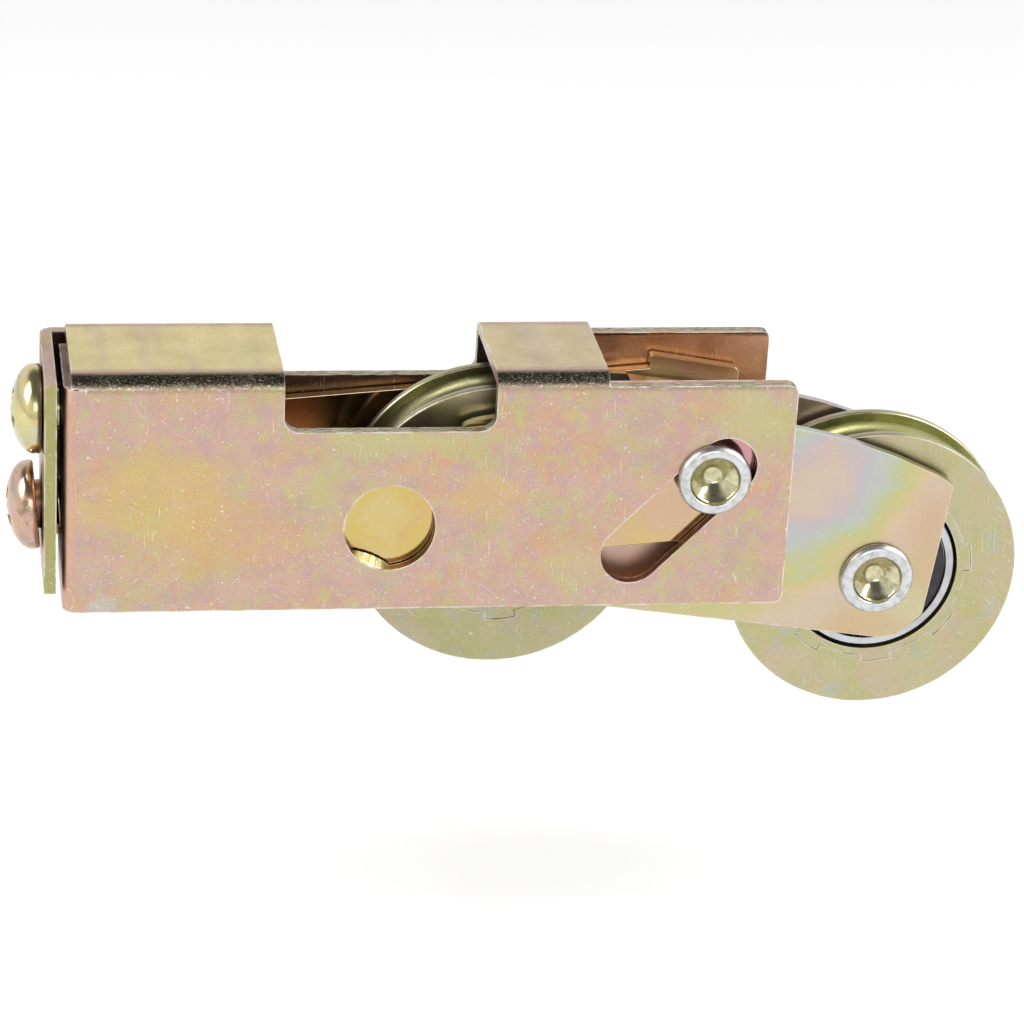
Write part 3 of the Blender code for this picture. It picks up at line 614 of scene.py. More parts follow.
def link_finish():
    """Glossy gold outside, copper between the side plates."""
    s = Shader("Link zinc")
    where = s.place()
    outer = spotted(s, where, patched(s, GOLD, LINK_PATCHES, 59.0), LINK_SPOTS, 0.5)
    colour = s.mix(s.span(s.depth(where), *LINK_INSIDE), outer, BRONZE)
    return plated(s, colour, 59.0, (0.09, 0.15), grain=0.18, scratches=0.1, specks=0.2, relief=0.001,
                  shade=0.9, speckle=0.03)


def wheel_finish(name, seed, shade, groove_tone):
    """Satin straw and lime faces round a glossier groove."""
    s = Shader(name)
    groove = s.span(s.depth(s.place()), *IN_GROOVE)
    colour = s.mix(groove, patched(s, STRAW, WHEEL_PATCHES, seed), groove_tone)
    gloss = (s.span(groove, 0.0, 1.0, 0.32, 0.22), s.span(groove, 0.0, 1.0, 0.42, 0.32))
    return plated(s, colour, seed, gloss, wear=0.9, scratches=0.35, specks=0.3, shade=shade, speckle=0.10)


def steel(name, colour, rough=0.2, lathe=0.3):
    """Ground or turned steel with fine rings round the axle."""
    s = Shader(name)
    smudge = s.noise(s.place(), 3.0, 3.0, 0.6)
    fine = s.noise(s.place((1.0, 6.0, 1.0)), 0.15, 2.0)
    dull = tuple(c * 0.82 for c in colour)
    tone = s.mix(s.span(smudge, 0.35, 0.7), colour, dull)
    gloss = s.span(smudge, 0.3, 0.7, rough, rough + 0.12)
    return s.finish(tone, gloss, 1.0, s.bump(fine, lathe, 0.01))


def rubber(name):
    """The bearing's seal: near-black moulded rubber with a violet bloom."""
    s = Shader(name)
    where = s.place()
    dust = s.noise(where, 1.2, 3.0, 0.6)
    colour = s.mix(s.span(dust, 0.4, 0.75), (0.012, 0.011, 0.015), (0.036, 0.033, 0.043))
    fine = s.noise(where, 0.12, 2.0)
    return s.finish(colour, s.span(dust, 0.3, 0.7, 0.42, 0.6), 0.0, s.bump(fine, 0.3, 0.01))


def rivet_metal(name, reach, mouth, at):
    """Bright worn rim round a coned mouth. The piece's Y gives the depth; at is a place on its axis."""
    s = Shader(name)
    where = s.place()
    depth = s.depth(where)
    around = s.distance(where, (at.x / MM, at.z / MM))
    inside = s.span(around, MOUTH_RADIUS + 0.50, MOUTH_RADIUS + 0.20)
    lined = s.product(inside, s.span(depth, reach - 0.08, reach - 0.42))
    patch = s.noise(where, 0.9, 3.0, 0.65)
    silver = s.mix(s.span(patch, 0.42, 0.68), SILVER, DULL_SILVER)
    olive = s.mix(s.span(patch, 0.35, 0.7), mouth, MOUTH_OLIVE)
    fine = s.noise(where, 0.2, 2.0, 0.6)
    gloss = s.span(lined, 0.0, 1.0, 0.34, 0.14)
    return s.finish(s.mix(lined, silver, olive), gloss, 1.0, s.bump(fine, 0.35, 0.015))


HOUSING_PATCHES = (
    (ORANGE, 8.0, 0.45, 0.63, 0.65),
    (OLIVE, 5.0, 0.49, 0.65, 0.50),
    (LIME, 2.0, 0.50, 0.66, 0.50),
    (ROSE, 2.6, 0.47, 0.61, 0.55),
    (ORANGE, 1.4, 0.52, 0.66, 0.35),
    (LILAC, 1.5, 0.52, 0.68, 0.25),
    (OLIVE, 0.8, 0.52, 0.68, 0.45),
)
# Broad tinted areas of the near wall, as ((x, z), reach, tone, strength).
HOUSING_SPOTS = (
    ((-2.0, -16.5), (15.0, 11.0), GOLD, 0.58),
    ((4.0, -23.0), (11.0, 6.0), GOLD, 0.35),
    ((39.0, -16.0), (7.0, 5.0), GOLD, 0.45),
    ((9.0, -22.0), (9.0, 7.0), ORANGE, 0.45),
    ((27.0, -8.5), (17.0, 3.0), LIME, 0.60),
    ((72.0, -6.0), (9.0, 6.0), LIME, 0.55),
    ((18.0, -15.0), (4.0, 9.0), LIME, 0.35),
    ((50.0, -26.0), (6.0, 5.0), LIME, 0.35),
    ((-9.0, -30.7), (3.2, 1.8), MIST, 0.60),
)
# Painted dark reflection of the bends, with painted bright glints at its top.
PAINTED_BEND_REFLECTION_TONES = (
    (0.38, (0.02, 0.02, 0.015)),
    (0.50, (0.08, 0.07, 0.05)),
    (0.59, (0.26, 0.23, 0.16)),
    (0.66, (0.85, 0.82, 0.72)),
)
# Brown of the hole's and the slot's walls, darkened with painted shade.
BORE_SHADE_TONES = (
    (0.34, (0.05, 0.015, 0.008)),
    (0.54, (0.17, 0.055, 0.025)),
    (0.70, (0.42, 0.18, 0.080)),
)
CUT_TONES = (
    (0.34, (0.10, 0.08, 0.04)),
    (0.50, (0.38, 0.33, 0.20)),
    (0.66, (0.62, 0.60, 0.48)),
)
# The rocker's bands run round a long patch that leans up to the right, in axes turned by the lean.
RAINBOW_LEAN = math.radians(-48)
RAINBOW_CENTRE = (66.6, 47.9)
RAINBOW_STRETCH = 1.75
RAINBOW_WANDER = 9.0
RAINBOW_REACH = 19.0
RAINBOW = (
    (0.00, CREAM),
    (0.12, PEACH),
    (0.26, PALE_LILAC),
    (0.38, PALE_MIST),
    (0.49, LIME),
    (0.60, PALE_GOLD),
    (0.72, PEACH),
    (0.86, CREAM),
    (1.00, STRAW),
)
# Tinted areas outside the bands, as ((x, z), reach, tone, strength).
ROCKER_SPOTS = (
    ((66.0, -32.0), (16.0, 6.0), LIME, 0.65),
    ((54.0, -26.0), (13.0, 9.0), PINK_COPPER, 0.9),
    ((98.0, -25.0), (5.5, 11.0), ORANGE, 0.50),
    ((89.0, -37.0), (9.0, 5.0), ORANGE, 0.50),
)
WHEEL_PATCHES = (
    (LIME, 5.0, 0.44, 0.62, 0.65),
    (PEACH, 6.0, 0.46, 0.62, 0.50),
    (MIST, 2.6, 0.54, 0.68, 0.45),
    (PALE_GOLD, 1.3, 0.50, 0.66, 0.50),
)
LINK_PATCHES = (
    (ORANGE, 9.0, 0.50, 0.70, 0.55),
    (PALE_GOLD, 6.0, 0.45, 0.65, 0.60),
)
# Tinted areas of the link's sides, as ((x, z), reach, tone, strength).
LINK_SPOTS = (
    ((63.0, -18.0), (9.0, 8.0), PINK, 0.70),
    ((54.0, -23.0), (6.0, 5.0), PINK, 0.50),
    ((71.0, -11.5), (5.5, 5.5), BLUSH, 0.95),
)
CLAMP_PATCHES = (
    (LIME, 2.5, 0.42, 0.62, 0.70),
    (MIST, 3.5, 0.50, 0.66, 0.60),
    (PEACH, 2.0, 0.55, 0.72, 0.50),
)
LIP_PATCHES = (
    (STRAW, 0.8, 0.42, 0.58, 0.80),
)
ADJUST_PATCHES = (
    (CHESTNUT, 1.6, 0.52, 0.64, 0.60),
    (ORANGE, 2.4, 0.46, 0.64, 0.60),
    (LILAC, 2.8, 0.52, 0.68, 0.35),
    (OLIVE, 1.8, 0.52, 0.70, 0.60),
)


def make_finishes():
    """Every finish, by the name used on the pieces."""
    glossy = {"grain": 0.18, "scratches": 0.1, "specks": 0.2, "relief": 0.008}
    cup = {"wear": 0.6, "scratches": 0.3, "speckle": 0.10}
    satin = (0.32, 0.42)
    return {
        "housing": housing_finish(),
        "rocker": rocker_finish(),
        # The rear wheel and cup are darker, and the rear groove's tone darker than the front's, as painted
        # shade under the housing.
        "front_wheel": wheel_finish("Front wheel zinc", 31.0, 0.79, LIME),
        "rear_wheel": wheel_finish("Rear wheel zinc", 83.0, 0.69, MOSS),
        "front_cup": zinc("Front cup zinc", STRAW, WHEEL_PATCHES, 31.0, satin, shade=0.78, **cup),
        "rear_cup": zinc("Rear cup zinc", STRAW, WHEEL_PATCHES, 83.0, satin, shade=0.68, **cup),
        "link": link_finish(),
        "clamp": zinc("Clamp screw zinc", PALE_GOLD, CLAMP_PATCHES, 5.0, (0.16, 0.26), **glossy),
        "adjust": zinc("Adjusting screw zinc", PINK_COPPER, ADJUST_PATCHES, 11.0, (0.18, 0.28), **glossy),
        "lip": zinc("Punched lip zinc", RIBBED_GOLD, LIP_PATCHES, 71.0, (0.40, 0.50), **glossy),
        "bearing": steel("Bearing steel", (0.52, 0.52, 0.53), 0.24),
        "ball": steel("Ball steel", (0.80, 0.80, 0.80), 0.06, 0.05),
        "cage": steel("Cage steel", (0.50, 0.48, 0.42), 0.35),
        "seal": rubber("Seal rubber"),
        "pivot": rivet_metal("Pivot rivet metal", 11.45, PIVOT_MOUTH, PIVOT),
        "rear_axle": rivet_metal("Rear axle rivet metal", 7.85, AXLE_MOUTH, HUBS["rear"]),
        "front_axle": rivet_metal("Front axle rivet metal", 7.85, AXLE_MOUTH, HUBS["front"]),
    }


def added(name, data):
    """A new object in the scene."""
    obj = bpy.data.objects.new(name, data)
    bpy.context.scene.collection.objects.link(obj)
    return obj


def raw_object(name, points, faces):
    """A mesh object from points in millimetres, with its faces turned outwards."""
    mesh = bpy.data.meshes.new(name)
    mesh.from_pydata([Vector(p) * MM for p in points], [], faces)
    shell = bmesh.new()
    shell.from_mesh(mesh)
    bmesh.ops.recalc_face_normals(shell, faces=shell.faces)
    shell.to_mesh(mesh)
    shell.free()
    return added(name, mesh)


def prism(name, outline, low, high, axis="Y"):
    """A polygon swept between two levels: (x, z) along Y, (x, y) along Z, (y, z) along X."""
    place = {
        "Y": lambda a, b, level: (a, level, b),
        "Z": lambda a, b, level: (a, b, level),
        "X": lambda a, b, level: (level, a, b),
    }[axis]
    count = len(outline)
    points = [place(a, b, level) for level in (low, high) for a, b in outline]
    sides = [(i, (i + 1) % count, count + (i + 1) % count, count + i) for i in range(count)]
    return raw_object(name, points, sides + [tuple(range(count)), tuple(range(count, 2 * count))])


def turned(name, profile, steps=ROUND_STEPS, closed=True):
    """A profile of (radius, along) turned about Y. An open profile starts and ends on the axis."""
    points = []
    rings = []
    for radius, along in profile:
        if radius == 0:
            rings.append([len(points)] * steps)
            points.append((0.0, along, 0.0))
            continue
        rings.append(list(range(len(points), len(points) + steps)))
        for k in range(steps):
            angle = 2 * math.pi * k / steps
            points.append((radius * math.cos(angle), along, radius * math.sin(angle)))
    faces = []
    last = len(rings) if closed else len(rings) - 1
    for i in range(last):
        first, second = rings[i], rings[(i + 1) % len(rings)]
        for k in range(steps):
            corners = [first[k], first[(k + 1) % steps], second[(k + 1) % steps], second[k]]
            faces.append(tuple(dict.fromkeys(corners)))
    return raw_object(name, points, faces)


def tube(name, inner, outer, start, end, steps=SMALL_STEPS):
    """A plain ring about Y."""
    return turned(name, [(inner, start), (outer, start), (outer, end), (inner, end)], steps)


def arc(centre, radius, start, end, steps):
    """Points of an arc, in degrees."""
    found = []
    for k in range(steps + 1):
        angle = math.radians(start + (end - start) * k / steps)
        found.append((centre[0] + radius * math.cos(angle), centre[1] + radius * math.sin(angle)))
    return found


def rounded(outline, radii, steps):
    """The outline with each of its corners rounded to its own radius, or left sharp at 0."""
    found = []
    count = len(outline)
    for i, (here, size) in enumerate(zip(outline, radii)):
        corner = Vector(here)
        before = Vector(outline[i - 1]) - corner
        after = Vector(outline[(i + 1) % count]) - corner
        half = before.angle(after) / 2
        if size <= 0 or half > math.radians(88):
            found.append(here)
            continue
        reach = min(size / math.tan(half), before.length * 0.48, after.length * 0.48)
        start = corner + before.normalized() * reach
        end = corner + after.normalized() * reach
        for k in range(steps + 1):
            t = k / steps
            found.append(tuple(start * (1 - t) ** 2 + corner * (2 * t * (1 - t)) + end * t ** 2))
    return found


def combine(target, other, operation="DIFFERENCE"):
    """Apply a Boolean and throw the other shape away."""
    change = target.modifiers.new("shape", "BOOLEAN")
    change.operation = operation
    change.object = other
    apply_modifiers(target)
    bpy.data.objects.remove(other, do_unlink=True)


def apply_modifiers(obj):
    """Keep what the modifiers make as the object's own mesh."""
    graph = bpy.context.evaluated_depsgraph_get()
    made = bpy.data.meshes.new_from_object(obj.evaluated_get(graph))
    obj.modifiers.clear()
    obj.data = made


def bore(target, at, radius, axis="Y", span=40.0):
    """Drill a round hole along one axis."""
    shape = [(0, -span), (radius, -span), (radius, span), (0, span)]
    cutter = turned("drill", shape, SMALL_STEPS, closed=False)
    if axis == "X":
        cutter.data.transform(Matrix.Rotation(math.pi / 2, 4, "Z"))
    cutter.data.transform(Matrix.Translation(Vector(at) * MM))
    combine(target, cutter)


def soften(obj, width, segments, angle):
    """Round the edges sharper than the angle and shade the rest smooth."""
    clean = bmesh.new()
    clean.from_mesh(obj.data)
    bmesh.ops.remove_doubles(clean, verts=clean.verts, dist=0.002 * MM)
    bmesh.ops.dissolve_limit(clean, angle_limit=math.radians(1), verts=clean.verts, edges=clean.edges)
    clean.to_mesh(obj.data)
    clean.free()
    bevel = obj.modifiers.new("rounded edges", "BEVEL")
    bevel.width = width * MM
    bevel.segments = segments
    bevel.limit_method = "ANGLE"
    bevel.angle_limit = math.radians(angle)
    apply_modifiers(obj)
    obj.data.shade_smooth()
    obj.data.set_sharp_from_angle(angle=SHARP)
    flats = obj.modifiers.new("flat faces", "WEIGHTED_NORMAL")
    flats.mode = "FACE_AREA"
    flats.keep_sharp = True
    apply_modifiers(obj)


def dress(obj, finish, body, slot, *replaced):
    """Give a piece its finish and its body, and hide the CAD nodes it stands for; its slot is not used."""
    obj.data.materials.clear()
    obj.data.materials.append(finish)
    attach(obj, body)
    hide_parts(*replaced)


def mount(obj, edge, move, *dressing):
    """Round a piece's edges, move its mesh to its place and dress it."""
    soften(obj, *edge)
    obj.data.transform(move)
    dress(obj, *dressing)


def box_mm(node):
    """Low and high corners of a CAD node, in millimetres."""
    low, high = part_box(node)
    return [c / MM for c in low], [c / MM for c in high]


def joint_place(name):
    """A joint's position in metres."""
    return Vector(JOINTS[name]["pos_m"])


PIVOT = joint_place("rocker_tilt")
HUBS = {"rear": joint_place("rear_wheel_spin"), "front": joint_place("front_wheel_spin")}
SCREW_SEAT = joint_place("screw_turn")
SCREW_AXIS = Vector(JOINTS["screw_turn"]["axis"])
LINK_TILT = math.atan2(SCREW_AXIS.z, SCREW_AXIS.x)
ROCKER_TILT = math.atan2(HUBS["front"].z - HUBS["rear"].z, HUBS["front"].x - HUBS["rear"].x)
AXLE_SPAN = (HUBS["front"] - HUBS["rear"]).length / 2 / MM
# Turns a piece made about Y so that its length runs along X.
ALONG_X = Matrix.Rotation(-math.pi / 2, 4, "Z")


def tilt_at(place, tilt):
    """The move that tips a piece up by a tilt and puts its origin at a place."""
    return Matrix.Translation(place) @ Matrix.Rotation(-tilt, 4, "Y")


def channel_outline(half, top, bend_outer, sheet, bottom):
    """Cross-section of an inverted channel with rounded bends, as (y, z)."""
    inner = bend_outer - sheet
    centre_z = top - bend_outer
    side = half - bend_outer
    outline = [(half, bottom)]
    outline += arc((side, centre_z), bend_outer, 0, 90, BEND_STEPS)
    outline += arc((-side, centre_z), bend_outer, 90, 180, BEND_STEPS)
    outline += [(-half, bottom), (-half + sheet, bottom)]
    outline += arc((-side, centre_z), inner, 180, 90, INNER_STEPS)
    outline += arc((side, centre_z), inner, 90, 0, INNER_STEPS)
    return outline + [(half - sheet, bottom)]


def corner_sheet(turn, sign, left, edge, lap, half):
    """A wall turning in to an end plate, as (x, y). sign is -1 for the near wall and 1 for the far one."""
    outline = [(lap, sign * half)]
    outline += arc(turn, BEND_OUTER, sign * 90, sign * 180, BEND_STEPS)
    outline += [(left, edge), (left + SHEET, edge)]
    outline += arc(turn, BEND_INNER, sign * 180, sign * 90, INNER_STEPS)
    return outline + [(lap, sign * (half - SHEET))]


def slot_outline():
    """The pivot slot, as (x, z)."""
    degrees = math.degrees(SLOT_ANGLE)
    along = Vector((math.cos(SLOT_ANGLE), math.sin(SLOT_ANGLE)))
    centre = Vector((PIVOT.x, PIVOT.z)) / MM
    outline = arc(centre + along * SLOT_ABOVE, SLOT_RADIUS, degrees - 90, degrees + 90, ARC_STEPS)
    return outline + arc(centre - along * SLOT_BELOW, SLOT_RADIUS, degrees + 90, degrees + 270, ARC_STEPS)


def notch_outline():
    """The notch in the top, as (x, z)."""
    left, right = NOTCH
    floor = -NOTCH_DEPTH + NOTCH_RADIUS
    outline = [(left, 2.0)]
    outline += arc((left + NOTCH_RADIUS, floor), NOTCH_RADIUS, 180, 270, NOTCH_STEPS)
    outline += arc((right - NOTCH_RADIUS, floor), NOTCH_RADIUS, 270, 360, NOTCH_STEPS)
    return outline + [(right, 2.0)]


def end_waste(start, right, bottom):
    """What is cut from the channel past the web: all but the two walls with their rounded corners."""
    end = [(start, bottom - 5), (start, 3.0), (right + 3, 3.0), (right + 3, bottom - 5)]
    waste = prism("end_waste", end, -ACROSS, ACROSS)
    left, top = start - ACROSS, -OPEN_WALL_DROP
    corners = [(left, bottom), (right, bottom), (right, top), (left, top)]
    kept = rounded(corners, (0, END_CORNER_RADIUS, END_CORNER_RADIUS, 0), CORNER_STEPS)
    combine(waste, prism("end_kept", kept, -ACROSS - 1, ACROSS + 1))
    return waste


def cut_channel(housing, plate_left, wall_start, right, bottom):
    """Cut the ends, the notch, the slots and the round holes."""
    left = plate_left - 2
    start = [(left, bottom - 1), (wall_start, bottom - 1), (wall_start, -SHEET), (left, -SHEET)]
    cutters = [
        prism("wall_start", start, -ACROSS, ACROSS),
        end_waste(right - WEB_END_IN, right, bottom),
        prism("notch", notch_outline(), -ACROSS, ACROSS),
        prism("slot", slot_outline(), -ACROSS, ACROSS),
    ]
    for cutter in cutters:
        combine(housing, cutter)
    bore(housing, (WALL_HOLE[0], 0, WALL_HOLE[1]), WALL_HOLE_RADIUS)


def make_housing(finish):
    """The bent channel with its inner flange and outer end plate."""
    low, high = box_mm("housing")
    plate_left, bottom = low[0], low[2]
    half, right = high[1], high[0]
    section = channel_outline(half, 0.0, WEB_BEND_OUTER, SHEET, bottom)
    housing = prism("housing_shell", section, plate_left + WEB_START_IN, right, "X")
    wall_start = FLANGE_LEFT + BEND_OUTER
    cut_channel(housing, plate_left, wall_start, right, bottom)
    lap = wall_start + CORNER_LAP
    near = corner_sheet((wall_start, -half + BEND_OUTER), -1, FLANGE_LEFT, FLANGE_EDGE, lap, half)
    combine(housing, prism("flange", near, bottom, FLANGE_TOP, "Z"), "UNION")
    far = corner_sheet((plate_left + BEND_OUTER, half - BEND_OUTER), 1, plate_left, PLATE_EDGE, lap, half)
    combine(housing, prism("plate", far, PLATE_BOTTOM, PLATE_TOP, "Z"), "UNION")
    clamp_low, clamp_high = box_mm("clamp_screw")
    clamp_z = (clamp_low[2] + clamp_high[2]) / 2
    bore(housing, (plate_left, 0, clamp_z), CLAMP_HOLE, "X", 5.0)
    bore(housing, (plate_left, 0, SCREW_SEAT.z / MM + ADJUSTING_HOLE_RISE), ADJUSTING_HOLE, "X", 5.0)
    soften(housing, *SHEET_EDGE)
    dress(housing, finish, "housing", "zinc_sheet", "housing")


def make_lip(finish):
    """The ragged lip inside the near wall's hole, sloping in from the outer face."""
    wall = -box_mm("housing")[1][1]
    outer, inner = (wall + depth for depth in LIP_DEPTHS)
    root = WALL_HOLE_RADIUS + LIP_ROOT
    points = []
    for k in range(LIP_STEPS + 1):
        share = k / LIP_STEPS
        angle = math.radians(LIP_START + (LIP_END - LIP_START) * share)
        ripple = 1 + LIP_RIPPLE * sum(math.sin(rate * share) for rate in LIP_RIPPLES)
        rise = LIP_RISE * math.sin(math.pi * share) ** LIP_SWELL * ripple
        for radius, across in ((root, outer), (WALL_HOLE_RADIUS - rise, inner), (root, inner)):
            x = WALL_HOLE[0] + radius * math.cos(angle)
            points.append((x, across, WALL_HOLE[1] + radius * math.sin(angle)))
    faces = [(0, 1, 2), tuple(3 * LIP_STEPS + i for i in range(3))]
    for k in range(LIP_STEPS):
        for i in range(3):
            j = (i + 1) % 3
            faces.append((3 * k + i, 3 * k + j, 3 * k + 3 + j, 3 * k + 3 + i))
    lip = raw_object("punched_lip", points, faces)
    lip.data.shade_smooth()
    lip.data.set_sharp_from_angle(angle=SHARP)
    dress(lip, finish, "housing", "zinc_sheet", "housing")


def shank_points(points, start=0.0, scale=1.0):
    """Points of the shank from (depth below the crest, along) pairs."""
    return [(SCREW_RADIUS - deep, start + along * scale) for deep, along in points]


def screw_profile(length):
    """Domed pan head, neck, thread and point, from the crown to the tip, as (radius, along)."""
    found = [(0, -HEAD_HEIGHT)]
    for k in range(1, HEAD_STEPS + 1):
        angle = math.radians(90 * k / HEAD_STEPS)
        rise = (HEAD_HEIGHT - HEAD_SIDE) * math.cos(angle)
        found.append((HEAD_RADIUS * math.sin(angle), -HEAD_SIDE - rise))
    found += [(HEAD_RADIUS - step_in, along) for step_in, along in HEAD_RIM]
    found += shank_points(SCREW_NECK)
    for k in range(int((length - THREAD_START - THREAD_RUN_OUT) / THREAD_PITCH)):
        found += shank_points(THREAD_RIDGE, THREAD_START + k * THREAD_PITCH, THREAD_PITCH)
    return found + shank_points(SCREW_POINT, length, -1)


def make_screw(node, length, finish, at, tilt, body):
    """A pan-head screw with a cross recess and a threaded shank."""
    screw = turned(f"{node}_body", screw_profile(length), SMALL_STEPS, closed=False)
    right = [(half, deep - HEAD_HEIGHT) for half, deep in RECESS_WING]
    left = [(-half, level) for half, level in reversed(right)]
    wing = [left[-1], *right, *left[:-1]]
    for number in range(2):
        cutter = prism("recess", wing, -RECESS_HALF_WIDTH, RECESS_HALF_WIDTH, "Z")
        cutter.data.transform(Matrix.Rotation(number * math.pi / 2 + RECESS_TURN, 4, "Y"))
        combine(screw, cutter)
    mount(screw, SCREW_EDGE, tilt_at(at, tilt) @ ALONG_X, finish, body, "zinc_screw", node)


def make_screws(finishes):
    """Both screws and the retaining ring."""
    low, high = box_mm("clamp_screw")
    face = box_mm("housing")[0][0] - HEAD_GAP
    at = Vector((face, 0, (low[2] + high[2]) / 2)) * MM
    make_screw("clamp_screw", high[0] - face, finishes["clamp"], at, 0.0, "housing")
    body = "adjusting_screw"
    make_screw(body, ADJUSTING_LENGTH, finishes["adjust"], SCREW_SEAT, LINK_TILT, body)
    ring = tube("retainer_ring", *RETAINER)
    move = tilt_at(SCREW_SEAT, LINK_TILT) @ ALONG_X
    mount(ring, RING_EDGE, move, finishes["bearing"], "retainer", "bearing_steel", "screw_retainer")


def link_plan():
    """The stirrup's end wall and bends, as (x, y)."""
    inner, outer = LINK_FACES
    turn_x = LINK_LEFT + LINK_BEND
    turn_y = outer - LINK_BEND
    lap = turn_x + LINK_LAP
    bend_in = LINK_BEND - (outer - inner)
    plan = [(lap, outer)]
    plan += arc((turn_x, turn_y), LINK_BEND, 90, 180, BEND_STEPS)
    plan += arc((turn_x, -turn_y), LINK_BEND, 180, 270, BEND_STEPS)
    plan += [(lap, -outer), (lap, -inner)]
    plan += arc((turn_x, -turn_y), bend_in, 270, 180, INNER_STEPS)
    plan += arc((turn_x, turn_y), bend_in, 180, 90, INNER_STEPS)
    return plan + [(lap, inner)]


def link_side():
    """A side plate of the stirrup with its relief and its nose, as (x, z)."""
    bottom, top = LINK_LEVELS
    left, right, relief_top = RELIEF
    start = LINK_LEFT + LINK_BEND
    span = (right - left) / 2
    relief = arc((left + span, relief_top - span), span, 180, 0, ARC_STEPS)
    return [(start, bottom), (left, bottom), *relief, (right, bottom), *LINK_NOSE, (start, top)]


def add_sides(obj, outline, faces):
    """Join a plate to each side of a piece, between its inner and outer faces."""
    for sign in (-1, 1):
        combine(obj, prism("side", outline, *sorted(sign * face for face in faces)), "UNION")


def make_link(finishes):
    """The stirrup and its nut."""
    link = prism("link_body", link_plan(), -LINK_END_HALF_HEIGHT, LINK_END_HALF_HEIGHT, "Z")
    add_sides(link, link_side(), LINK_FACES)
    bore(link, (0, 0, 0), PIVOT_HOLE)
    bore(link, (LINK_LEFT, 0, 0), SCREW_HOLE, "X", 4.0)
    move = tilt_at(PIVOT, LINK_TILT)
    mount(link, SHEET_EDGE, move, finishes["link"], "link", "zinc_rocker", "adjusting_link")
    flats, thickness, gap = NUT
    start = LINK_LEFT + LINK_FACES[1] - LINK_FACES[0] + gap
    ring = arc((0, 0), flats / math.sqrt(3), 0, 300, 5)
    nut = prism("nut_body", ring, start, start + thickness, "X")
    bore(nut, (start, 0, 0), SCREW_HOLE, "X", 9.0)
    mount(nut, NUT_EDGE, move, finishes["clamp"], "link", "zinc_screw", "adjuster_nut")


def rocker_side():
    """A side plate of the rocker, alike on both sides of the pivot, as (x, z)."""
    shoulder = ROCKER_BRIDGE_TOP - ROCKER_BEND
    arm = [
        (ROCKER_BRIDGE_HALF - ROCKER_LAP, shoulder, 0),
        (ROCKER_BRIDGE_HALF, ROCKER_BRIDGE_TOP, ROCKER_TOP_ROUND),
    ]
    arm += [(AXLE_SPAN + along, level, radius) for along, level, radius in ROCKER_ARM]
    arm += [(0, arm[-1][1], 0), (0, shoulder, 0)]
    half = rounded([(x, z) for x, z, _ in arm], [radius for _, _, radius in arm], 6)[:-2]
    return half + [(-x, z) for x, z in reversed(half)]


def make_rocker(finishes):
    """The equalising channel with its smooth arms."""
    inner, outer = ROCKER_FACES
    section = channel_outline(outer, ROCKER_BRIDGE_TOP, ROCKER_BEND, outer - inner, ROCKER_BRIDGE_BOTTOM)
    rocker = prism("rocker_body", section, -ROCKER_BRIDGE_HALF, ROCKER_BRIDGE_HALF, "X")
    add_sides(rocker, rocker_side(), ROCKER_FACES)
    bore(rocker, (0, 0, 0), PIVOT_HOLE)
    for sign in (-1, 1):
        bore(rocker, (sign * AXLE_SPAN, 0, ROCKER_DROP), AXLE_HOLE)
    move = tilt_at(PIVOT, ROCKER_TILT)
    mount(rocker, ROCKER_EDGE, move, finishes["rocker"], "rocker", "zinc_rocker", "rocker")


def flipped(profile):
    """The other half of a profile, from its far end back."""
    return [(radius, -along) for radius, along in reversed(profile)]


def rivet_profile(radii, reach, seat):
    """A rivet with a rolled rim and a coned, stepped mouth at both ends, as (radius, along)."""
    shank, rim = radii
    shoulder = seat + RIM_EDGE
    drop = reach - shoulder
    half = [(shank, seat), (rim - RIM_EDGE, seat), (rim, shoulder)]
    for k in range(1, RIM_STEPS + 1):
        angle = math.radians(90 * k / RIM_STEPS)
        half.append((rim - RIM_ROLL * (1 - math.cos(angle)), shoulder + drop * math.sin(angle)))
    half += arc((MOUTH_RADIUS + MOUTH_ROLL, reach - MOUTH_ROLL), MOUTH_ROLL, 90, 180, 6)
    half += [(radius, reach - deep) for radius, deep in MOUTH_STEPS]
    return flipped(half) + half


def make_rivet(name, node, radii, wall, at, finish, body):
    """A rivet that reaches as far as its CAD node, with its rims just outside the walls it holds."""
    profile = rivet_profile(radii, box_mm(node)[1][1], wall + RIM_GAP)
    rivet = turned(name, profile, closed=False)
    mount(rivet, RIVET_EDGE, Matrix.Translation(at), finish, body, "bright_rivet", node)


def make_rivets(finishes):
    """Pivot and axle rivets."""
    wall = box_mm("housing")[1][1]
    make_rivet("pivot_rivet_body", "pivot_rivet", PIVOT_RADII, wall, PIVOT, finishes["pivot"], "pivot")
    for tag, hub in HUBS.items():
        node, finish = f"{tag}_axle_rivet", finishes[f"{tag}_axle"]
        make_rivet(f"{tag}_axle_body", node, AXLE_RADII, ROCKER_FACES[1], hub, finish, "rocker")


def wheel_profile():
    """The rim from one side face to the other round a U-groove, as (radius, along)."""
    across, down, start = GROOVE_LIP
    half = [(WHEEL_RADIUS - step_in, WHEEL_HALF_WIDTH - side) for step_in, side in WHEEL_CORNER]
    half += [(WHEEL_RADIUS, GROOVE_HALF_WIDTH + across), (WHEEL_RADIUS - down, GROOVE_HALF_WIDTH)]
    top = WHEEL_RADIUS - start
    for k in range(1, GROOVE_STEPS + 1):
        angle = math.radians(90 * k / GROOVE_STEPS)
        width = GROOVE_HALF_WIDTH * math.cos(angle) ** GROOVE_FULLNESS
        half.append((top - (top - GROOVE_FLOOR) * math.sin(angle), width))
    return [(radius, -along) for radius, along in half[:-1]] + half[::-1]


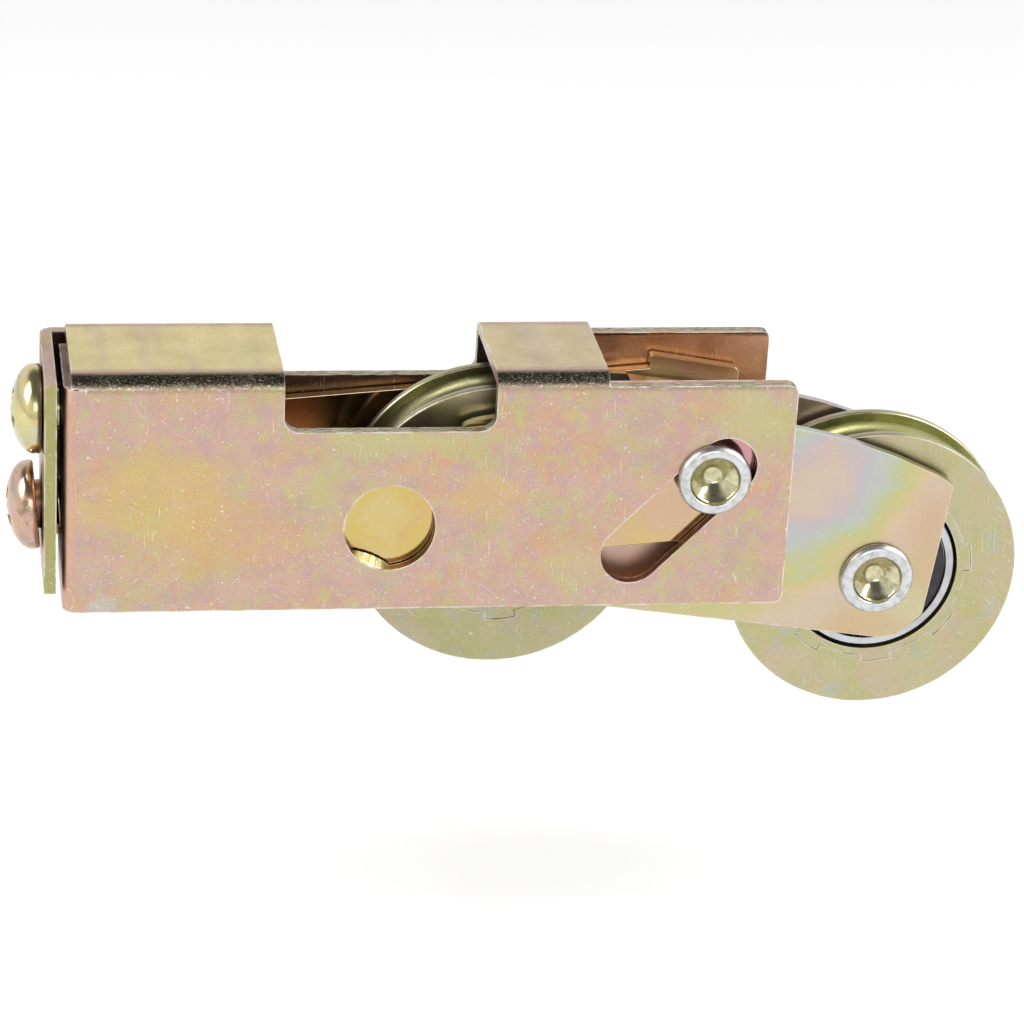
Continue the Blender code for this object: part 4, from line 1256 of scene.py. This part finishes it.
def sector(radius, degrees, half_angle):
    """A wedge from inside the cup's wall out to a radius, as (x, z)."""
    root = arc((0, 0), TAB_ROOT, degrees + half_angle, degrees - half_angle, 3)
    return root + arc((0, 0), radius, degrees - half_angle, degrees + half_angle, 6)


def cup_profile(half):
    """The bearing cup with its lip on the far side, as (radius, along)."""
    lip_radius, lip = CUP_LIP
    near = [(CUP_BORE, -half), (CUP_OUTER, -half), (CUP_OUTER, half)]
    return near + [(lip_radius, half), (lip_radius, half - lip), (CUP_BORE, half - lip)]


def make_wheel(tag, finishes):
    """A grooved wheel and its clinched bearing cup."""
    seat = CUP_OUTER + SEAM
    profile = [(seat, -WHEEL_HALF_WIDTH), *wheel_profile(), (seat, WHEEL_HALF_WIDTH)]
    wheel = turned(f"{tag}_wheel_body", profile, WHEEL_STEPS)
    half = WHEEL_HALF_WIDTH - CUP_INSET
    cup = turned(f"{tag}_cup_body", cup_profile(half), WHEEL_STEPS)
    for number in range(TAB_COUNT):
        degrees = TAB_PHASES[tag] + 360 * number / TAB_COUNT
        tab = sector(TAB_RADIUS, degrees, TAB_HALF_ANGLE)
        combine(cup, prism("tab", tab, -half, -half + TAB_THICKNESS), "UNION")
        pocket = sector(TAB_RADIUS + TAB_GAP, degrees, TAB_HALF_ANGLE + TAB_GAP_ANGLE)
        combine(wheel, prism("pocket", pocket, -half - 1, -half + TAB_THICKNESS + TAB_GAP))
    move = Matrix.Translation(HUBS[tag])
    body = f"{tag}_wheel"
    mount(wheel, SEAM_EDGE, move, finishes[body], body, "zinc_wheel", body)
    mount(cup, SEAM_EDGE, move, finishes[f"{tag}_cup"], body, "zinc_rocker", f"{tag}_bearing_cup")


def race_profile(face, groove, back):
    """A bearing race from its face round its ball groove and its back, as (radius, along)."""
    radius, angles = groove
    half = list(face)
    half += [(BALL_CIRCLE + radius * math.cos(a), abs(radius) * math.sin(a)) for a in angles]
    return half + flipped(half) + [(r, -along) for r, along in back] + list(back[::-1])


def make_races(tag, move, finish):
    """The outer race, which turns with the wheel, and the inner race, which stays with the rocker."""
    races = {
        "outer_race": (race_profile(OUTER_FACE, OUTER_GROOVE, OUTER_BACK), f"{tag}_wheel"),
        "inner_race": (race_profile(INNER_FACE, INNER_GROOVE, INNER_BACK), "rocker"),
    }
    for node, (profile, body) in races.items():
        race = turned(f"{tag}_{node}_ring", profile)
        mount(race, RACE_EDGE, move, finish, body, "bearing_steel", f"{tag}_{node}")


def make_seals(tag, move, finish):
    """Two seals with a shallow moulded step."""
    for side, word in ((-1, "near"), (1, "far")):
        seal = turned(f"{tag}_seal_{word}_ring", [(radius, side * along) for radius, along in SEAL])
        mount(seal, SEAL_EDGE, move, finish, f"{tag}_wheel", "black_seal", f"{tag}_seal_{word}")


def make_cage(tag, move, finish):
    """The ring that spaces the balls."""
    inner, outer, half = CAGE
    cage = tube(f"{tag}_cage_ring", inner, outer, -half, half, ROUND_STEPS)
    for number in range(BALL_COUNT):
        angle = 2 * math.pi * number / BALL_COUNT
        cutter = turned("pocket", CAGE_POCKET, POCKET_STEPS, closed=False)
        cutter.data.transform(Matrix.Rotation(-angle, 4, "Y") @ ALONG_X)
        combine(cage, cutter)
    mount(cage, CAGE_EDGE, move, finish, f"{tag}_balls", "cage_steel", f"{tag}_ball_cage")


def make_ball(tag, number, centre, finish):
    """One smooth ball."""
    shell = bmesh.new()
    bmesh.ops.create_icosphere(shell, subdivisions=4, radius=BALL_RADIUS * MM)
    mesh = bpy.data.meshes.new(f"{tag}_ball_{number + 1}_sphere")
    shell.to_mesh(mesh)
    shell.free()
    angle = 2 * math.pi * number / BALL_COUNT
    offset = Vector((math.cos(angle), 0, math.sin(angle))) * BALL_CIRCLE * MM
    mesh.transform(Matrix.Translation(centre + offset))
    mesh.shade_smooth()
    dress(added(mesh.name, mesh), finish, f"{tag}_balls", "bearing_steel", f"{tag}_ball_{number + 1}")


def make_spacers(tag, finish):
    """The rings that hold the inner race in the middle of its axle."""
    for word in ("near", "far"):
        node = f"{tag}_spacer_{word}"
        low, high = box_mm(node)
        ring = tube(f"{node}_ring", BEARING_BORE, SPACER_RADIUS, low[1], high[1])
        move = Matrix.Translation(HUBS[tag])
        mount(ring, RING_EDGE, move, finish, "rocker", "bearing_steel", node)


def make_bearing(tag, finishes):
    """Races, seals, cage, balls and spacers."""
    low, high = box_mm(f"{tag}_outer_race")
    centre = HUBS[tag] + Vector((0, (low[1] + high[1]) / 2, 0)) * MM
    move = Matrix.Translation(centre)
    make_races(tag, move, finishes["bearing"])
    make_seals(tag, move, finishes["seal"])
    make_cage(tag, move, finishes["cage"])
    for number in range(BALL_COUNT):
        make_ball(tag, number, centre, finishes["ball"])
    make_spacers(tag, finishes["bearing"])


def make_floor():
    """A wide white floor, far enough down to clear the lowered wheels and keep their shadow faint."""
    level = cad_box[0].z / MM - FLOOR_GAP
    reach = FLOOR_REACH
    corners = [(-reach, -reach), (reach, -reach), (reach, reach), (-reach, reach)]
    floor = prism("floor", corners, level - FLOOR_THICKNESS, level, "Z")
    s = Shader("Pale floor")
    tone = s.mix(s.noise(s.place(), 60.0), (0.95, 0.95, 0.95), (0.97, 0.97, 0.97))
    floor.data.materials.append(s.finish(tone, 0.7, 0.0))


def area_light(name, at, target, size, power):
    """A soft panel aimed at a point, in millimetres."""
    data = bpy.data.lights.new(name, "AREA")
    data.shape = "RECTANGLE"
    data.size, data.size_y = [s * MM for s in size]
    data.energy = power
    light = added(name, data)
    light.location = Vector(at) * MM
    light.rotation_euler = (Vector(target) - Vector(at)).to_track_quat("-Z", "Y").to_euler()


def make_world():
    """White studio walls all round, with a darker ceiling straight above the roller."""
    s = Shader("Studio", "worlds")
    towards = s.node("TexCoord").outputs["Generated"]
    glow = s.node("Background", {0: (1.0, 1.0, 1.0), 1: s.span(s.axis(towards, "Z"), *CEILING)})
    s.node("OutputWorld", {0: glow.outputs[0]})
    bpy.context.scene.world = s.owner


def make_light():
    """Two large panels high at the sides and a weaker one in front."""
    make_world()
    for name, (at, size, power) in PANELS.items():
        area_light(name, at, LIGHT_TARGET, size, power)


def make_camera():
    """A long lens, slightly tipped, looking down at the near side."""
    data = bpy.data.cameras.new("camera")
    data.lens = LENS
    data.clip_start, data.clip_end = CLIP
    camera = added("camera", data)
    heading, dip, roll = (math.radians(angle) for angle in CAMERA_ANGLES)
    flat = math.cos(dip)
    forward = Vector((math.sin(heading) * flat, math.cos(heading) * flat, -math.sin(dip)))
    level = forward.cross(Vector((0, 0, 1))).normalized()
    above = level.cross(forward)
    right = level * math.cos(roll) + above * math.sin(roll)
    up = above * math.cos(roll) - level * math.sin(roll)
    turn = Matrix((right, up, -forward)).transposed().to_4x4()
    camera.matrix_world = Matrix.Translation(Vector(CAMERA_PLACE) * MM) @ turn
    bpy.context.scene.camera = camera


def main():
    bpy.context.scene.view_settings.view_transform = "Standard"
    finishes = make_finishes()
    make_camera()
    make_light()
    make_floor()
    make_housing(finishes["housing"])
    make_lip(finishes["lip"])
    make_screws(finishes)
    make_link(finishes)
    make_rocker(finishes)
    make_rivets(finishes)
    for tag in HUBS:
        make_wheel(tag, finishes)
        make_bearing(tag, finishes)


main()
